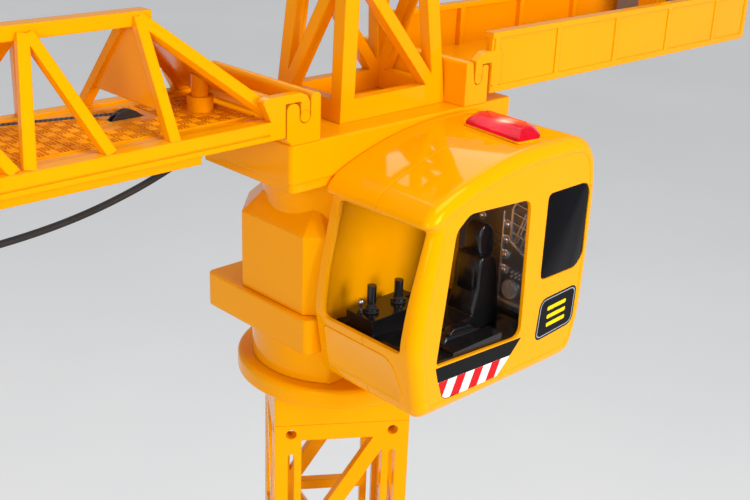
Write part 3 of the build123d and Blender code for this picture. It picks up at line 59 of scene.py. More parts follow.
# ------------------------------------------------------------------ materials
class Net:
    """Small helper round one material's node tree."""

    def __init__(self, name):
        self.m = bpy.data.materials.new(name)
        self.m.use_nodes = True
        self.t = self.m.node_tree
        self.t.nodes.clear()
        self.out = self.n("ShaderNodeOutputMaterial")
        self.b = self.n("ShaderNodeBsdfPrincipled")
        self.l(self.b.outputs[0], self.out.inputs[0])
        self.tc = self.n("ShaderNodeTexCoord").outputs["Object"]

    def n(self, kind, **kw):
        node = self.t.nodes.new(kind)
        for k, v in kw.items():
            setattr(node, k, v)
        return node

    def l(self, a, b):
        self.t.links.new(a, b)

    def put(self, socket, v):
        if isinstance(v, bpy.types.NodeSocket):
            self.l(v, socket)
        elif v is not None:
            socket.default_value = v

    def noise(self, scale, detail=3.0, rough=0.5, vec=None, stretch=None, distortion=0.0):
        v = vec or self.tc
        if stretch:
            mp = self.n("ShaderNodeMapping")
            self.l(v, mp.inputs[0])
            mp.inputs["Scale"].default_value = stretch
            v = mp.outputs[0]
        nz = self.n("ShaderNodeTexNoise")
        self.l(v, nz.inputs["Vector"])
        nz.inputs["Scale"].default_value = scale
        nz.inputs["Detail"].default_value = detail
        nz.inputs["Roughness"].default_value = rough
        nz.inputs["Distortion"].default_value = distortion
        return nz.outputs[0]

    def ramp(self, v, lo, hi, a=0.0, b=1.0):
        r = self.n("ShaderNodeMapRange")
        self.l(v, r.inputs["Value"])
        for k, x in zip(("From Min", "From Max", "To Min", "To Max"), (lo, hi, a, b)):
            r.inputs[k].default_value = x
        return r.outputs[0]

    def math(self, op, a, b=None, c=None, clamp=False):
        q = self.n("ShaderNodeMath", operation=op, use_clamp=clamp)
        for i, v in enumerate((a, b, c)):
            if v is not None:
                self.put(q.inputs[i], v)
        return q.outputs[0]

    def mix(self, f, a, b, mode="MIX"):
        q = self.n("ShaderNodeMix", data_type="RGBA", blend_type=mode)
        self.put(q.inputs[0], f)
        for s, v in ((q.inputs[6], a), (q.inputs[7], b)):
            if isinstance(v, (tuple, list)):
                v = tuple(v) + ((1.0,) if len(v) == 3 else ())
            self.put(s, v)
        return q.outputs[2]

    def bump(self, h, dist, strength=1.0, normal=None):
        q = self.n("ShaderNodeBump")
        q.inputs["Strength"].default_value = strength
        q.inputs["Distance"].default_value = dist
        self.l(h, q.inputs["Height"])
        if normal is not None:
            self.l(normal, q.inputs["Normal"])
        return q.outputs[0]

    def edge(self, radius, lo=0.72, hi=0.97):
        """1 on sharp edges, 0 on flats, and the rounded normal."""
        bv = self.n("ShaderNodeBevel", samples=4)
        bv.inputs["Radius"].default_value = radius
        geo = self.n("ShaderNodeNewGeometry")
        dot = self.n("ShaderNodeVectorMath", operation="DOT_PRODUCT")
        self.l(bv.outputs[0], dot.inputs[0])
        self.l(geo.outputs["Normal"], dot.inputs[1])
        return self.ramp(dot.outputs["Value"], lo, hi, 1.0, 0.0), bv.outputs[0]

    def dark_in_corners(self, distance):
        ao = self.n("ShaderNodeAmbientOcclusion", samples=4, only_local=False)
        ao.inputs["Distance"].default_value = distance
        return ao.outputs["AO"]


def moulded(name, base, deep, rough=0.2, spread=0.08, bevel=0.0005, wear=0.35, worn=None, peel=0.00002,
            flow=(1, 1, 1), bump=None, spec=0.5, tint=None):
    """Injection-moulded plastic: colour drift, flow streaks, fine peel, softened and slightly worn edges."""
    k = Net(name)
    edge, nrm = k.edge(bevel)
    drift = k.noise(9.0, 3.0, 0.6)
    streak = k.noise(60.0, 4.0, 0.55, stretch=flow, distortion=0.4)
    col = k.mix(k.ramp(drift, 0.3, 0.7), base, deep)
    col = k.mix(k.ramp(streak, 0.45, 0.75, 0.0, 0.22), col, deep)
    speck = k.noise(1500.0, 2.0, 0.7)
    col = k.mix(k.ramp(speck, 0.76, 0.84, 0.0, 0.15), col, [c * 0.7 for c in deep])
    if worn is None:
        worn = [min(1.0, c * 1.12 + 0.02) for c in base]
    patch = k.ramp(k.noise(140.0, 3.0, 0.6), 0.4, 0.65)
    col = k.mix(k.math("MULTIPLY", k.math("MULTIPLY", edge, patch), wear), col, worn)
    k.l(col, k.b.inputs["Base Color"])
    r = k.ramp(k.noise(35.0, 4.0, 0.6), 0.3, 0.75, rough - spread * 0.5, rough + spread)
    scuff = k.ramp(k.noise(700.0, 2.0, 0.5, stretch=(1.0, 0.12, 1.0)), 0.70, 0.82, 0.0, 0.06)
    k.l(k.math("ADD", k.math("ADD", r, scuff), k.math("MULTIPLY", edge, 0.08), clamp=True), k.b.inputs["Roughness"])
    h = k.math("ADD", k.noise(420.0, 3.0, 0.5), k.math("MULTIPLY", k.noise(3200.0, 2.0, 0.5), 0.25))
    if bump is not None:
        h = k.math("ADD", h, bump(k))
    k.l(k.bump(h, peel, 1.0, nrm), k.b.inputs["Normal"])
    k.b.inputs["Specular IOR Level"].default_value = spec
    k.b.inputs["IOR"].default_value = 1.5
    if tint:
        k.b.inputs["Specular Tint"].default_value = (*tint, 1.0)
    return k.m


WARM = (1.0, 0.62, 0.06)


YEL, YEL_D = (0.95, 0.375, 0.0), (0.93, 0.345, 0.0)
M = {}
M["yellow"] = moulded("yellow_moulded", YEL, YEL_D, rough=0.13, bevel=0.0009, flow=(1, 1, 0.25), spec=0.38, peel=0.000012, tint=WARM)
M["yellow_cab"] = moulded("yellow_cab_gloss", (0.96, 0.385, 0.0), (0.95, 0.365, 0.0), rough=0.06, spread=0.03, bevel=0.0008, wear=0.15, peel=0.000004, spec=0.42, tint=WARM)
M["yellow_mast"] = moulded("yellow_mast_satin", (0.93, 0.37, 0.0), (0.91, 0.335, 0.0), rough=0.20, bevel=0.0009, flow=(1, 1, 0.1), spec=0.35, peel=0.000014, tint=WARM)
M["black"] = moulded("black_moulded", (0.018, 0.018, 0.02), (0.010, 0.010, 0.011), rough=0.30, spread=0.12, wear=0.5, worn=(0.09, 0.09, 0.095), peel=0.00003)
M["black_gloss"] = moulded("black_gloss_panel", (0.005, 0.005, 0.007), (0.003, 0.003, 0.004), rough=0.06, spread=0.05, wear=0.1, peel=0.000006, spec=0.07)
M["silver"] = moulded("silver_relief", (0.74, 0.74, 0.76), (0.56, 0.55, 0.55), rough=0.2, spread=0.12, bevel=0.0003, wear=0.8, worn=(0.75, 0.75, 0.78), peel=0.00002)
M["weight"] = moulded("ballast_grey", (0.30, 0.30, 0.29), (0.22, 0.22, 0.215), rough=0.62, spread=0.15, wear=0.5, worn=(0.45, 0.45, 0.44), peel=0.00012)
M["white"] = moulded("gear_white", (0.78, 0.77, 0.72), (0.70, 0.69, 0.63), rough=0.38, wear=0.2, peel=0.00003)
M["black_cab"] = moulded("black_cab_interior", (0.010, 0.010, 0.011), (0.006, 0.006, 0.007), rough=0.16, spread=0.10, wear=0.5, worn=(0.06, 0.06, 0.065), peel=0.00002)
M["rubber"] = moulded("black_rubber", (0.022, 0.022, 0.022), (0.014, 0.014, 0.014), rough=0.62, spread=0.15, wear=0.4, worn=(0.07, 0.07, 0.07), peel=0.00006, spec=0.35)
M["silver"].node_tree.nodes["Principled BSDF"].inputs["Metallic"].default_value = 0.75
M["smoke"] = moulded("smoke_plated_wall", (0.15, 0.15, 0.16), (0.085, 0.085, 0.09), rough=0.24, spread=0.16, bevel=0.0003, wear=0.8, worn=(0.5, 0.5, 0.52), peel=0.00003)
M["smoke"].node_tree.nodes["Principled BSDF"].inputs["Metallic"].default_value = 0.55
M["hook"] = moulded("hook_red_paint", (0.55, 0.03, 0.02), (0.42, 0.02, 0.015), rough=0.25, wear=0.9, worn=(0.45, 0.44, 0.43), peel=0.00003)


def metal(name, base, rough, brush=(1, 1, 18)):
    k = Net(name)
    edge, nrm = k.edge(0.0003)
    line = k.noise(900.0, 3.0, 0.6, stretch=brush)
    col = k.mix(k.ramp(line, 0.3, 0.7), base, [c * 0.78 for c in base])
    col = k.mix(k.ramp(k.noise(90.0, 4.0, 0.6), 0.55, 0.8, 0.0, 0.5), col, [base[0] * 0.62, base[1] * 0.58, base[2] * 0.52])
    col = k.mix(k.math("MULTIPLY", edge, 0.5), col, [min(1, c * 1.25) for c in base])
    k.l(col, k.b.inputs["Base Color"])
    k.b.inputs["Metallic"].default_value = 1.0
    k.l(k.ramp(line, 0.2, 0.8, rough - 0.06, rough + 0.12), k.b.inputs["Roughness"])
    k.l(k.bump(line, 0.00001, 1.0, nrm), k.b.inputs["Normal"])
    return k.m


M["steel"] = metal("plain_steel", (0.56, 0.56, 0.58), 0.28, (1, 18, 1))
M["motor"] = metal("zinc_can", (0.50, 0.50, 0.52), 0.36, (18, 1, 1))


def braided(name, colour, light, pitch):
    """Rope: two crossing helices of strands drawn as height and colour; the colour is painted shade, darker in the
    grooves between strands and lighter on the strand crowns.
    """
    k = Net(name)
    a = k.n("ShaderNodeTexWave", wave_type="BANDS", bands_direction="DIAGONAL")
    k.l(k.tc, a.inputs["Vector"])
    a.inputs["Scale"].default_value = pitch
    a.inputs["Distortion"].default_value = 1.5
    a.inputs["Detail"].default_value = 2.0
    fuzz = k.noise(5200.0, 3.0, 0.7)
    # painted shade: the band wave that sets the height also sets the colour, dark in the grooves and lighter on the
    # strand crowns
    k.l(k.mix(k.ramp(a.outputs["Fac"], 0.2, 0.8), colour, light), k.b.inputs["Base Color"])
    k.l(k.ramp(fuzz, 0.3, 0.7, 0.7, 0.95), k.b.inputs["Roughness"])
    k.b.inputs["Sheen Weight"].default_value = 0.3
    k.l(k.bump(k.math("ADD", a.outputs["Fac"], k.math("MULTIPLY", fuzz, 0.5)), 0.00015, 0.9), k.b.inputs["Normal"])
    return k.m


M["rope"] = braided("black_cord", (0.012, 0.012, 0.013), (0.055, 0.055, 0.058), 260.0)

CAD_LOOK = {
    "base_feet": "rubber", "ballast_blocks": "weight", "counterweights": "weight", "slew_pinion": "white", "slew_motor": "motor",
    "cover_screws": "steel", "battery_pack": "black", "power_switch": "black", "arm_hinge_pins": "yellow", "drive_box": "black",
    "hoist_drum": "white", "trolley_drum": "white", "hoist_motor": "motor", "trolley_motor": "motor", "hoist_rope": "rope",
    "trolley_rope": "rope", "tip_sheave_hoist": "black", "tip_sheave_trolley": "black", "root_sheave": "black",
    "trolley_sheave_inner": "black", "trolley_sheave_outer": "black", "trolley_wheels_rear": "black", "trolley_wheels_front": "black",
    "hoist_rope_falls": "rope", "hook_sheave": "black", "hook": "hook", "cab_side_panel": "black_gloss", "cab_floor": "black_cab",
    "cab_joysticks": "black_cab", "cab_seat": "black_cab", "cab_rear_panel": "smoke", "power_lead": "rubber", "lead_plug": "rubber",
    "base_plate": "yellow_mast", "mast_section_1": "yellow_mast", "mast_section_2": "yellow_mast", "mast_section_3": "yellow_mast",
    "mast_head": "yellow_mast", "cab_shell_inner": "yellow_cab", "cab_shell_outer": "yellow_cab",
}
for name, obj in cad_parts.items():
    obj.data.materials.clear()
    obj.data.materials.append(M[CAD_LOOK.get(name, "yellow")])


# ------------------------------------------------------------------ mesh tools
def piece(name, verts, faces, mat, body="upper_works", angle=32.0, slot=None, metres=False):
    me = bpy.data.meshes.new(name)
    me.from_pydata([tuple(v) if metres else tuple(pt(*v)) for v in verts], [], faces)
    me.validate()
    bm = bmesh.new()
    bm.from_mesh(me)
    bmesh.ops.recalc_face_normals(bm, faces=bm.faces)
    bm.to_mesh(me)
    bm.free()
    return finish_piece(name, me, mat, body, angle)


def finish_piece(name, me, mat, body="upper_works", angle=32.0):
    me.materials.clear()
    me.materials.append(M[mat] if isinstance(mat, str) else mat)
    me.polygons.foreach_set("use_smooth", [True] * len(me.polygons))
    me.set_sharp_from_angle(angle=math.radians(angle))
    me.update()
    o = bpy.data.objects.new(name, me)
    scene.collection.objects.link(o)
    if body:
        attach(o, body)
    return o


def rounded(poly, cut=99.0, n=5, cuts=None):
    """Closed outline with every corner turned into a short quadratic arc."""
    out = []
    P = [Vector((p[0], p[1])) for p in poly]
    for i, p in enumerate(P):
        a, b = P[i - 1], P[(i + 1) % len(P)]
        c = (cuts or {}).get(i, cut)
        ca, cb = min(c, 0.46 * (a - p).length), min(c, 0.46 * (b - p).length)
        A, B = p + (a - p).normalized() * ca, p + (b - p).normalized() * cb
        for j in range(n + 1):
            t = j / n
            out.append(A * (1 - t) ** 2 + p * 2 * t * (1 - t) + B * t * t)
    return np.array([[v.x, v.y] for v in out])


def resample(P, step):
    """Adds points on long straight edges of a closed outline."""
    out = []
    for i in range(len(P)):
        a, b = P[i], P[(i + 1) % len(P)]
        n = max(1, int(np.linalg.norm(b - a) // step))
        out += [a + (b - a) * j / n for j in range(n)]
    return np.array(out)


def inset(P, d):
    """Outline moved inwards by d; runs that a tight corner swallows are drawn together."""
    if abs(d) < 1e-6:
        return P.copy()
    nxt, prv = np.roll(P, -1, 0), np.roll(P, 1, 0)
    area = 0.5 * np.sum(P[:, 0] * nxt[:, 1] - nxt[:, 0] * P[:, 1])
    t = nxt - prv
    t /= np.linalg.norm(t, axis=1)[:, None] + 1e-12
    nrm = np.stack([-t[:, 1], t[:, 0]], 1) * (1 if area > 0 else -1)
    Q = P + nrm * d
    A, B = P, nxt
    AB = B - A
    ok = np.ones(len(P), bool)
    for i, q in enumerate(Q):
        u = np.clip(np.sum((q - A) * AB, 1) / (np.sum(AB * AB, 1) + 1e-12), 0, 1)
        ok[i] = np.min(np.linalg.norm(A + AB * u[:, None] - q, axis=1)) > abs(d) * 0.998 - 0.01
    idx = np.where(ok)[0]
    if len(idx) < 8:
        return Q
    for j, i0 in enumerate(idx):
        i1 = idx[(j + 1) % len(idx)]
        gap = (i1 - i0) % len(P)
        for k in range(1, gap):
            Q[(i0 + k) % len(P)] = Q[i0] + (Q[i1] - Q[i0]) * k / gap
    return Q


def skin(rings, closed_ends=(True, True)):
    """Faces that join equal closed rings of 3-D points, with caps."""
    n = len(rings[0])
    verts = [tuple(v) for r in rings for v in r]
    faces = []
    for k in range(len(rings) - 1):
        a, b = k * n, (k + 1) * n
        faces += [(a + i, a + (i + 1) % n, b + (i + 1) % n, b + i) for i in range(n)]
    if closed_ends[0]:
        faces.append(tuple(range(n)))
    if closed_ends[1]:
        faces.append(tuple(range((len(rings) - 1) * n, len(rings) * n)))
    return verts, faces


def slab_y(name, outline, y0, y1, mat, soft=0.25, angle=28.0, slot=None):
    """Thin plate in the XZ plane with a softened outer rim; outline in (x, z)."""
    P = np.array(outline)
    rings = [[(x, y0, z) for x, z in P], [(x, y1 - soft, z) for x, z in P],
             [(x, y1 - soft * 0.3, z) for x, z in inset(P, soft * 0.3)], [(x, y1, z) for x, z in inset(P, soft)]]
    v, f = skin(rings)
    return piece(name, v, f, mat, angle=angle, slot=slot)


def boolean(o, cutters, op="DIFFERENCE"):
    """Applies exact booleans and leaves a plain mesh."""
    for c in cutters:
        md = o.modifiers.new("cut", "BOOLEAN")
        md.operation, md.solver, md.object = op, "EXACT", c
    bpy.context.view_layer.update()
    me = bpy.data.meshes.new_from_object(o.evaluated_get(bpy.context.evaluated_depsgraph_get()))
    bpy.data.objects.remove(o)
    return me


def soften(me, width, segments=2, angle=30.0):
    """Real rounded edges for a piece built from flats."""
    o = bpy.data.objects.new("tmp_soft", me)
    scene.collection.objects.link(o)
    md = o.modifiers.new("b", "BEVEL")
    md.width, md.segments, md.limit_method, md.angle_limit = width * MM, segments, "ANGLE", math.radians(angle)
    md.harden_normals = False
    bpy.context.view_layer.update()
    out = bpy.data.meshes.new_from_object(o.evaluated_get(bpy.context.evaluated_depsgraph_get()))
    bpy.data.objects.remove(o)
    return out


def mesh_of(verts, faces, name="m"):
    me = bpy.data.meshes.new(name)
    me.from_pydata([tuple(pt(*v)) for v in verts], [], faces)
    me.validate()
    bm = bmesh.new()
    bm.from_mesh(me)
    bmesh.ops.recalc_face_normals(bm, faces=bm.faces)
    if bm.calc_volume(signed=True) < 0:
        bmesh.ops.reverse_faces(bm, faces=bm.faces)
    bm.to_mesh(me)
    bm.free()
    return me


def prism_x(outline_yz, x0, x1):
    return mesh_of(*skin([[(x0, y, z) for y, z in outline_yz], [(x1, y, z) for y, z in outline_yz]]))


def prism_y(outline_xz, y0, y1):
    return mesh_of(*skin([[(x, y0, z) for x, z in outline_xz], [(x, y1, z) for x, z in outline_xz]]))


def boxmesh(x0, x1, y0, y1, z0, z1):
    return prism_y([(x0, z0), (x1, z0), (x1, z1), (x0, z1)], y0, y1)


def join(meshes):
    bm = bmesh.new()
    for m in meshes:
        bm.from_mesh(m)
    out = bpy.data.meshes.new("joined")
    bm.to_mesh(out)
    bm.free()
    return out


def lathe(profile, centre, axis="y", n=40):
    """Solid of revolution: profile is (radius, height along axis)."""
    rings = []
    for r, h in profile:
        ring = []
        for i in range(n):
            a = 2 * math.pi * i / n
            c, s = r * math.cos(a), r * math.sin(a)
            d = {"y": (c, h, s), "z": (c, s, h), "x": (h, c, s)}[axis]
            ring.append((centre[0] + d[0], centre[1] + d[1], centre[2] + d[2]))
        rings.append(ring)
    return mesh_of(*skin(rings))


# ------------------------------------------------------------------ camera
cam_data = bpy.data.cameras.new("view")
cam = bpy.data.objects.new("view", cam_data)
scene.collection.objects.link(cam)
scene.camera = cam
f_px, tilt, head, roll = 1117.16, math.radians(22.02), math.radians(44.62), math.radians(2.24)
cam_data.sensor_width = 36.0
cam_data.lens = 36.0 * f_px / 750.0
cam_data.clip_start, cam_data.clip_end = 0.02, 200.0
R = Vector((-math.cos(head), math.sin(head), 0))
F = Vector((-math.sin(head), -math.cos(head), 0))
Zv = Vector((0, 0, 1))
look = F * math.cos(tilt) - Zv * math.sin(tilt)
up = F * math.sin(tilt) + Zv * math.cos(tilt)
R2, U2 = R * math.cos(roll) + up * math.sin(roll), -R * math.sin(roll) + up * math.cos(roll)
mat = Matrix((R2, U2, -look)).transposed().to_4x4()
mat.translation = Vector((0.36086, 0.39298, 1.10048))
cam.matrix_world = mat

# ------------------------------------------------------------------ studio
scene.view_settings.view_transform = "Standard"
world = bpy.data.worlds.new("studio")
scene.world = world
world.use_nodes = True
wt = world.node_tree
bgn = wt.nodes["Background"]
bgn.inputs["Color"].default_value = (0.80, 0.82, 0.85, 1)
bgn.inputs["Strength"].default_value = 0.36


def area(name, loc, target, size, power, colour=(1, 1, 1), size_y=None):
    d = bpy.data.lights.new(name, "AREA")
    d.shape = "RECTANGLE"
    d.size, d.size_y = size, size_y or size
    d.energy = power
    d.color = colour
    o = bpy.data.objects.new(name, d)
    scene.collection.objects.link(o)
    o.matrix_world = (Matrix.Translation(Vector(loc))
                      @ (Vector(target) - Vector(loc)).to_track_quat("-Z", "Y").to_matrix().to_4x4())
    return o


def sun(name, direction, strength, angle):
    d = bpy.data.lights.new(name, "SUN")
    d.energy, d.angle = strength, math.radians(angle)
    o = bpy.data.objects.new(name, d)
    scene.collection.objects.link(o)
    o.rotation_mode = "QUATERNION"
    o.rotation_quaternion = Vector(direction).to_track_quat("-Z", "Y")
    return o


CT = (0.05, 0.02, 0.93)
area("key", (-0.15, 1.75, 1.40), CT, 0.8, 24.0, (1.0, 0.985, 0.96))
area("fill", (1.75, 1.0, 1.35), CT, 1.0, 17.0, (1.0, 0.99, 0.97))
area("overhead", (-0.7, -0.8, 2.3), CT, 1.2, 8.0)
sun("soft_sun", (0.1, -0.35, -1.0), 1.3, 30)

floor_me = bpy.data.meshes.new("floor")
floor_me.from_pydata([(-60, -60, 0), (60, -60, 0), (60, 60, 0), (-60, 60, 0)], [], [(0, 1, 2, 3)])
floor = bpy.data.objects.new("floor", floor_me)
scene.collection.objects.link(floor)
kf = Net("floor_paper")
kf.l(kf.mix(kf.ramp(kf.noise(1.3, 3.0, 0.5), 0.3, 0.7), (0.80, 0.80, 0.80), (0.76, 0.765, 0.77)), kf.b.inputs["Base Color"])
kf.l(kf.ramp(kf.noise(40.0, 3.0, 0.5), 0.3, 0.7, 0.75, 0.9), kf.b.inputs["Roughness"])
kf.l(kf.bump(kf.noise(900.0, 2.0, 0.5), 0.0002), kf.b.inputs["Normal"])
floor_me.materials.append(kf.m)

# ------------------------------------------------------------------ power lead
LY = -50.0
LEAD = [(17.2, LY, 52.5), (32.0, LY, 51.4), (53.0, LY - 0.2, 39.6), (84.0, LY - 0.5, 27.8), (122.0, LY - 0.9, 19.0),
        (164.0, LY - 1.1, 15.6), (206.0, LY - 0.9, 16.8), (246.0, LY - 0.6, 23.6), (280.0, LY - 0.4, 34.6),
        (303.0, LY - 0.2, 48.0), (318.5, LY, 58.5), (335.0, LY, 58.5)]
cu = bpy.data.curves.new("power_lead_sheath", "CURVE")
cu.dimensions = "3D"
sp = cu.splines.new("NURBS")
sp.points.add(len(LEAD) - 1)
for q, v in zip(sp.points, LEAD):
    q.co = (*pt(*v), 1.0)
sp.order_u = 3
sp.use_endpoint_u = True
sp.resolution_u = 12
cu.bevel_depth = 0.00175
cu.bevel_resolution = 5
cu.use_fill_caps = True
cu.materials.append(M["rubber"])
lead = bpy.data.objects.new("power_lead_sheath", cu)
scene.collection.objects.link(lead)
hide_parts("power_lead")
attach(lead, "upper_works")

# ------------------------------------------------------------------ hoist rope falls


def tube(points, radius, sides=12, closed=False):
    """Round bar along straight or gently curved runs."""
    P = [Vector(p) for p in points]
    rings = []
    for i, p in enumerate(P):
        t = (P[min(i + 1, len(P) - 1)] - P[max(i - 1, 0)]).normalized()
        a = t.cross(Vector((0, 1, 0)) if abs(t.y) < 0.9 else Vector((1, 0, 0))).normalized()
        b = t.cross(a)
        rings.append([tuple(p + (a * math.cos(q) + b * math.sin(q)) * radius) for q in
                      [2 * math.pi * k / sides for k in range(sides)]])
    return mesh_of(*skin(rings))


ROPE_R = 0.5
fall_parts = []
for s in (-7.0, 7.0):
    for strand in range(3):
        ph = strand * 2 * math.pi / 3
        fall_parts.append(tube([(TX + s + 0.26 * math.cos(ph + k * 0.9), HY + 0.26 * math.sin(ph + k * 0.9), 60.5 - 840.5 * k / 420)
                                for k in range(421)], 0.32, 6))
falls = finish_piece("hoist_falls_laid", join(fall_parts), "rope", body=None, angle=60)
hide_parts("hoist_rope_falls")
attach(falls, "trolley")
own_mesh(falls)


# ------------------------------------------------------------------ cab
CAB = [(37.0, -53.0), (43.3, -18.0), (41.2, 1.0), (36.9, 20.0), (33.2, 36.6), (37.6, 38.2),
       (36.6, 42.0), (31.5, 47.0), (17.0, 52.6), (4.0, 56.4), (-10.0, 59.6), (-26.0, 61.6), (-40.0, 62.2),
       (-66.0, 62.0), (-76.0, 57.2), (-81.6, 47.0), (-83.2, 26.0), (-82.4, -12.0), (-81.2, -34.0), (-76.4, -51.0),
       (-71.5, -55.2), (-60.0, -55.6), (26.0, -54.6), (32.5, -54.4)]
PROFILE = resample(rounded(CAB, cuts={4: 1.0, 5: 1.6, 0: 4.0, 23: 4.0, 1: 6.0}, n=6), 2.0)
Y0, YS, Y1, WALL, RND = 31.6, 64.0, 97.6, 2.2, 6.0


def ring(y, d):
    return [(x, y, z) for x, z in inset(PROFILE, d)]


def half(outer):
    rings = []
    arc = [math.radians(a) for a in (0, 12, 24, 36, 48, 60, 72, 84, 90)]
    if outer:
        for a in reversed(arc):
            rings.append(ring(Y1 - WALL - 4 + 4 * math.sin(a), WALL + 4 * (1 - math.cos(a))))
        rings += [ring(YS + 0.05, WALL), ring(YS + 0.05, 0.2), ring(YS + 0.25, 0.0)]
        rings += [ring(Y1 - RND + RND * math.sin(a), RND * (1 - math.cos(a))) for a in arc]
        rings += [ring(Y1, RND + 0.5), ring(Y1 - 0.35, RND + 0.75)]
    else:
        for a in reversed(arc[::2]):
            rings.append(ring(Y0 + WALL + 1 - 1 * math.sin(a), WALL + 1 * (1 - math.cos(a))))
        rings += [ring(YS - 0.05, WALL), ring(YS - 0.05, 0.2), ring(YS - 0.25, 0.0)]
        rings += [ring(Y0 + 1.2 - 1.2 * math.sin(a), 1.2 * (1 - math.cos(a))) for a in arc[::2]]
    return mesh_of(*skin(rings), name="half")


def shell(name, me, cutters, node):
    bm = bmesh.new()
    bm.from_mesh(me)
    bmesh.ops.triangulate(bm, faces=[f for f in bm.faces if len(f.verts) > 4])
    bm.to_mesh(me)
    bm.free()
    o = bpy.data.objects.new("tmp", me)
    scene.collection.objects.link(o)
    cs = []
    for c in cutters:
        co = bpy.data.objects.new("tmp_c", c)
        scene.collection.objects.link(co)
        cs.append(co)
    out = boolean(o, cs)
    for c in cs:
        bpy.data.objects.remove(c)
    p = finish_piece(name, out, "yellow_cab", angle=30)
    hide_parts(node)
    return p


SCREEN = rounded([(37.6, -21.0), (88.6, -21.2), (92.0, 36.0), (37.6, 35.6)], cut=3.0, n=6, cuts={2: 1.6})
WINDOW = rounded([(27.9, -28.6), (19.8, 34.0), (11.5, 40.6), (-28.0, 38.4), (-31.0, 35.4), (-31.8, -29.0), (-29.0, -32.2)], cut=3.0, n=6)
PANEL = rounded([(-44.0, 37.8), (-73.0, 37.8), (-76.0, 34.0), (-76.0, -1.0), (-71.0, -6.0), (-45.0, -6.0), (-43.6, -4.0)], cut=3.2, n=6)
PANEL = resample(PANEL, 0.8)
cut_screen = prism_x(SCREEN, 27.0, 70.0)
cut_side = prism_y(WINDOW, 88.0, 110.0)
cut_panel = prism_y(inset(PANEL, -0.2), Y1 - 0.95, 110.0)
shell("cab_half_outer", half(True), [cut_screen, cut_side, cut_panel], "cab_shell_outer")
shell("cab_half_inner", half(False), [cut_screen.copy()], "cab_shell_inner")

FACE = Y1 - 0.35
pn = slab_y("cab_rear_window", inset(PANEL, 0.1), FACE - 0.58, FACE + 0.02, "black_gloss", soft=0.25, slot="black_gloss")
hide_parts("cab_side_panel")


# ------------------------------------------------------------------ printed labels (generic, no lettering)
def printed(name, colour, dark, rough=0.28):
    """Vinyl label: flat ink with a fine orange peel and a faint rub."""
    k = Net(name)
    rub = k.ramp(k.noise(260.0, 4.0, 0.65), 0.55, 0.8, 0.0, 0.35)
    k.l(k.mix(rub, colour, dark), k.b.inputs["Base Color"])
    k.l(k.ramp(k.noise(120.0, 3.0, 0.5), 0.3, 0.7, rough - 0.06, rough + 0.12), k.b.inputs["Roughness"])
    k.l(k.bump(k.noise(1400.0, 2.0, 0.5), 0.00001), k.b.inputs["Normal"])
    k.b.inputs["Specular IOR Level"].default_value = 0.1
    return k.m


M["ink_black"] = printed("label_black", (0.005, 0.005, 0.006), (0.012, 0.012, 0.012), 0.2)
M["ink_white"] = printed("label_white", (0.82, 0.82, 0.80), (0.70, 0.70, 0.68))
M["ink_red"] = printed("label_red", (0.62, 0.008, 0.012), (0.50, 0.006, 0.010))
M["ink_yellow"] = printed("label_yellow", (0.85, 0.62, 0.0), (0.75, 0.54, 0.0))
M["ink_grey"] = printed("label_grey", (0.36, 0.38, 0.42), (0.28, 0.30, 0.33))


def clip(poly, a, b):
    """Keeps the part of a polygon on the left of the line a to b."""
    out = []
    s = lambda p: (b[0] - a[0]) * (p[1] - a[1]) - (b[1] - a[1]) * (p[0] - a[0])
    for i, p in enumerate(poly):
        q = poly[(i + 1) % len(poly)]
        sp_, sq = s(p), s(q)
        if sp_ >= 0:
            out.append(p)
        if sp_ * sq < 0:
            t = sp_ / (sp_ - sq)
            out.append((p[0] + (q[0] - p[0]) * t, p[1] + (q[1] - p[1]) * t))
    return out


def label(name, outline, base, mat, thick=0.06):
    """Flat printed film lying on the cab's side."""
    v, f = skin([[(x, base, z) for x, z in outline], [(x, base + thick, z) for x, z in outline]])
    return piece(name, v, f, mat, angle=20, slot="yellow_plastic")


def area2(P):
    return 0.5 * sum(P[i][0] * P[(i + 1) % len(P)][1] - P[(i + 1) % len(P)][0] * P[i][1] for i in range(len(P)))


BAND = [(28.0, -29.6), (25.9, -37.4), (-25.2, -40.2), (-32.6, -33.0)]
STRIP = [(25.8, -37.5), (22.4, -45.6), (20.4, -47.2), (-13.6, -49.6), (-16.6, -48.2), (-25.0, -40.25)]
label("label_band", rounded(BAND, cut=0.5, n=3), FACE + 0.005, "ink_black", 0.05)
label("label_stripe_ground", rounded(inset(np.array(STRIP), -0.35), cut=0.8, n=3), FACE + 0.005, "ink_black", 0.045)
label("label_stripe_white", rounded(STRIP, cut=0.8, n=3), FACE + 0.03, "ink_white", 0.04)
reds = []
for k in range(-1, 5):
    x0 = 24.4 - k * 12.6
    bar = [(x0, -36.0), (x0 - 6.3, -36.0), (x0 - 6.3 + 6.6, -50.5), (x0 + 6.6, -50.5)]
    if area2(bar) < 0:
        bar.reverse()
    S = [tuple(p) for p in inset(np.array(STRIP), 0.02)]
    if area2(S) < 0:
        S.reverse()
    c = bar
    for i in range(len(S)):
        c = clip(c, S[i], S[(i + 1) % len(S)])
        if len(c) < 3:
            break
    if len(c) >= 3 and abs(area2(c)) > 1.0:
        reds.append(mesh_of(*skin([[(x, FACE + 0.04, z) for x, z in c], [(x, FACE + 0.09, z) for x, z in c]])))
finish_piece("label_stripe_red", join(reds), "ink_red", angle=20)

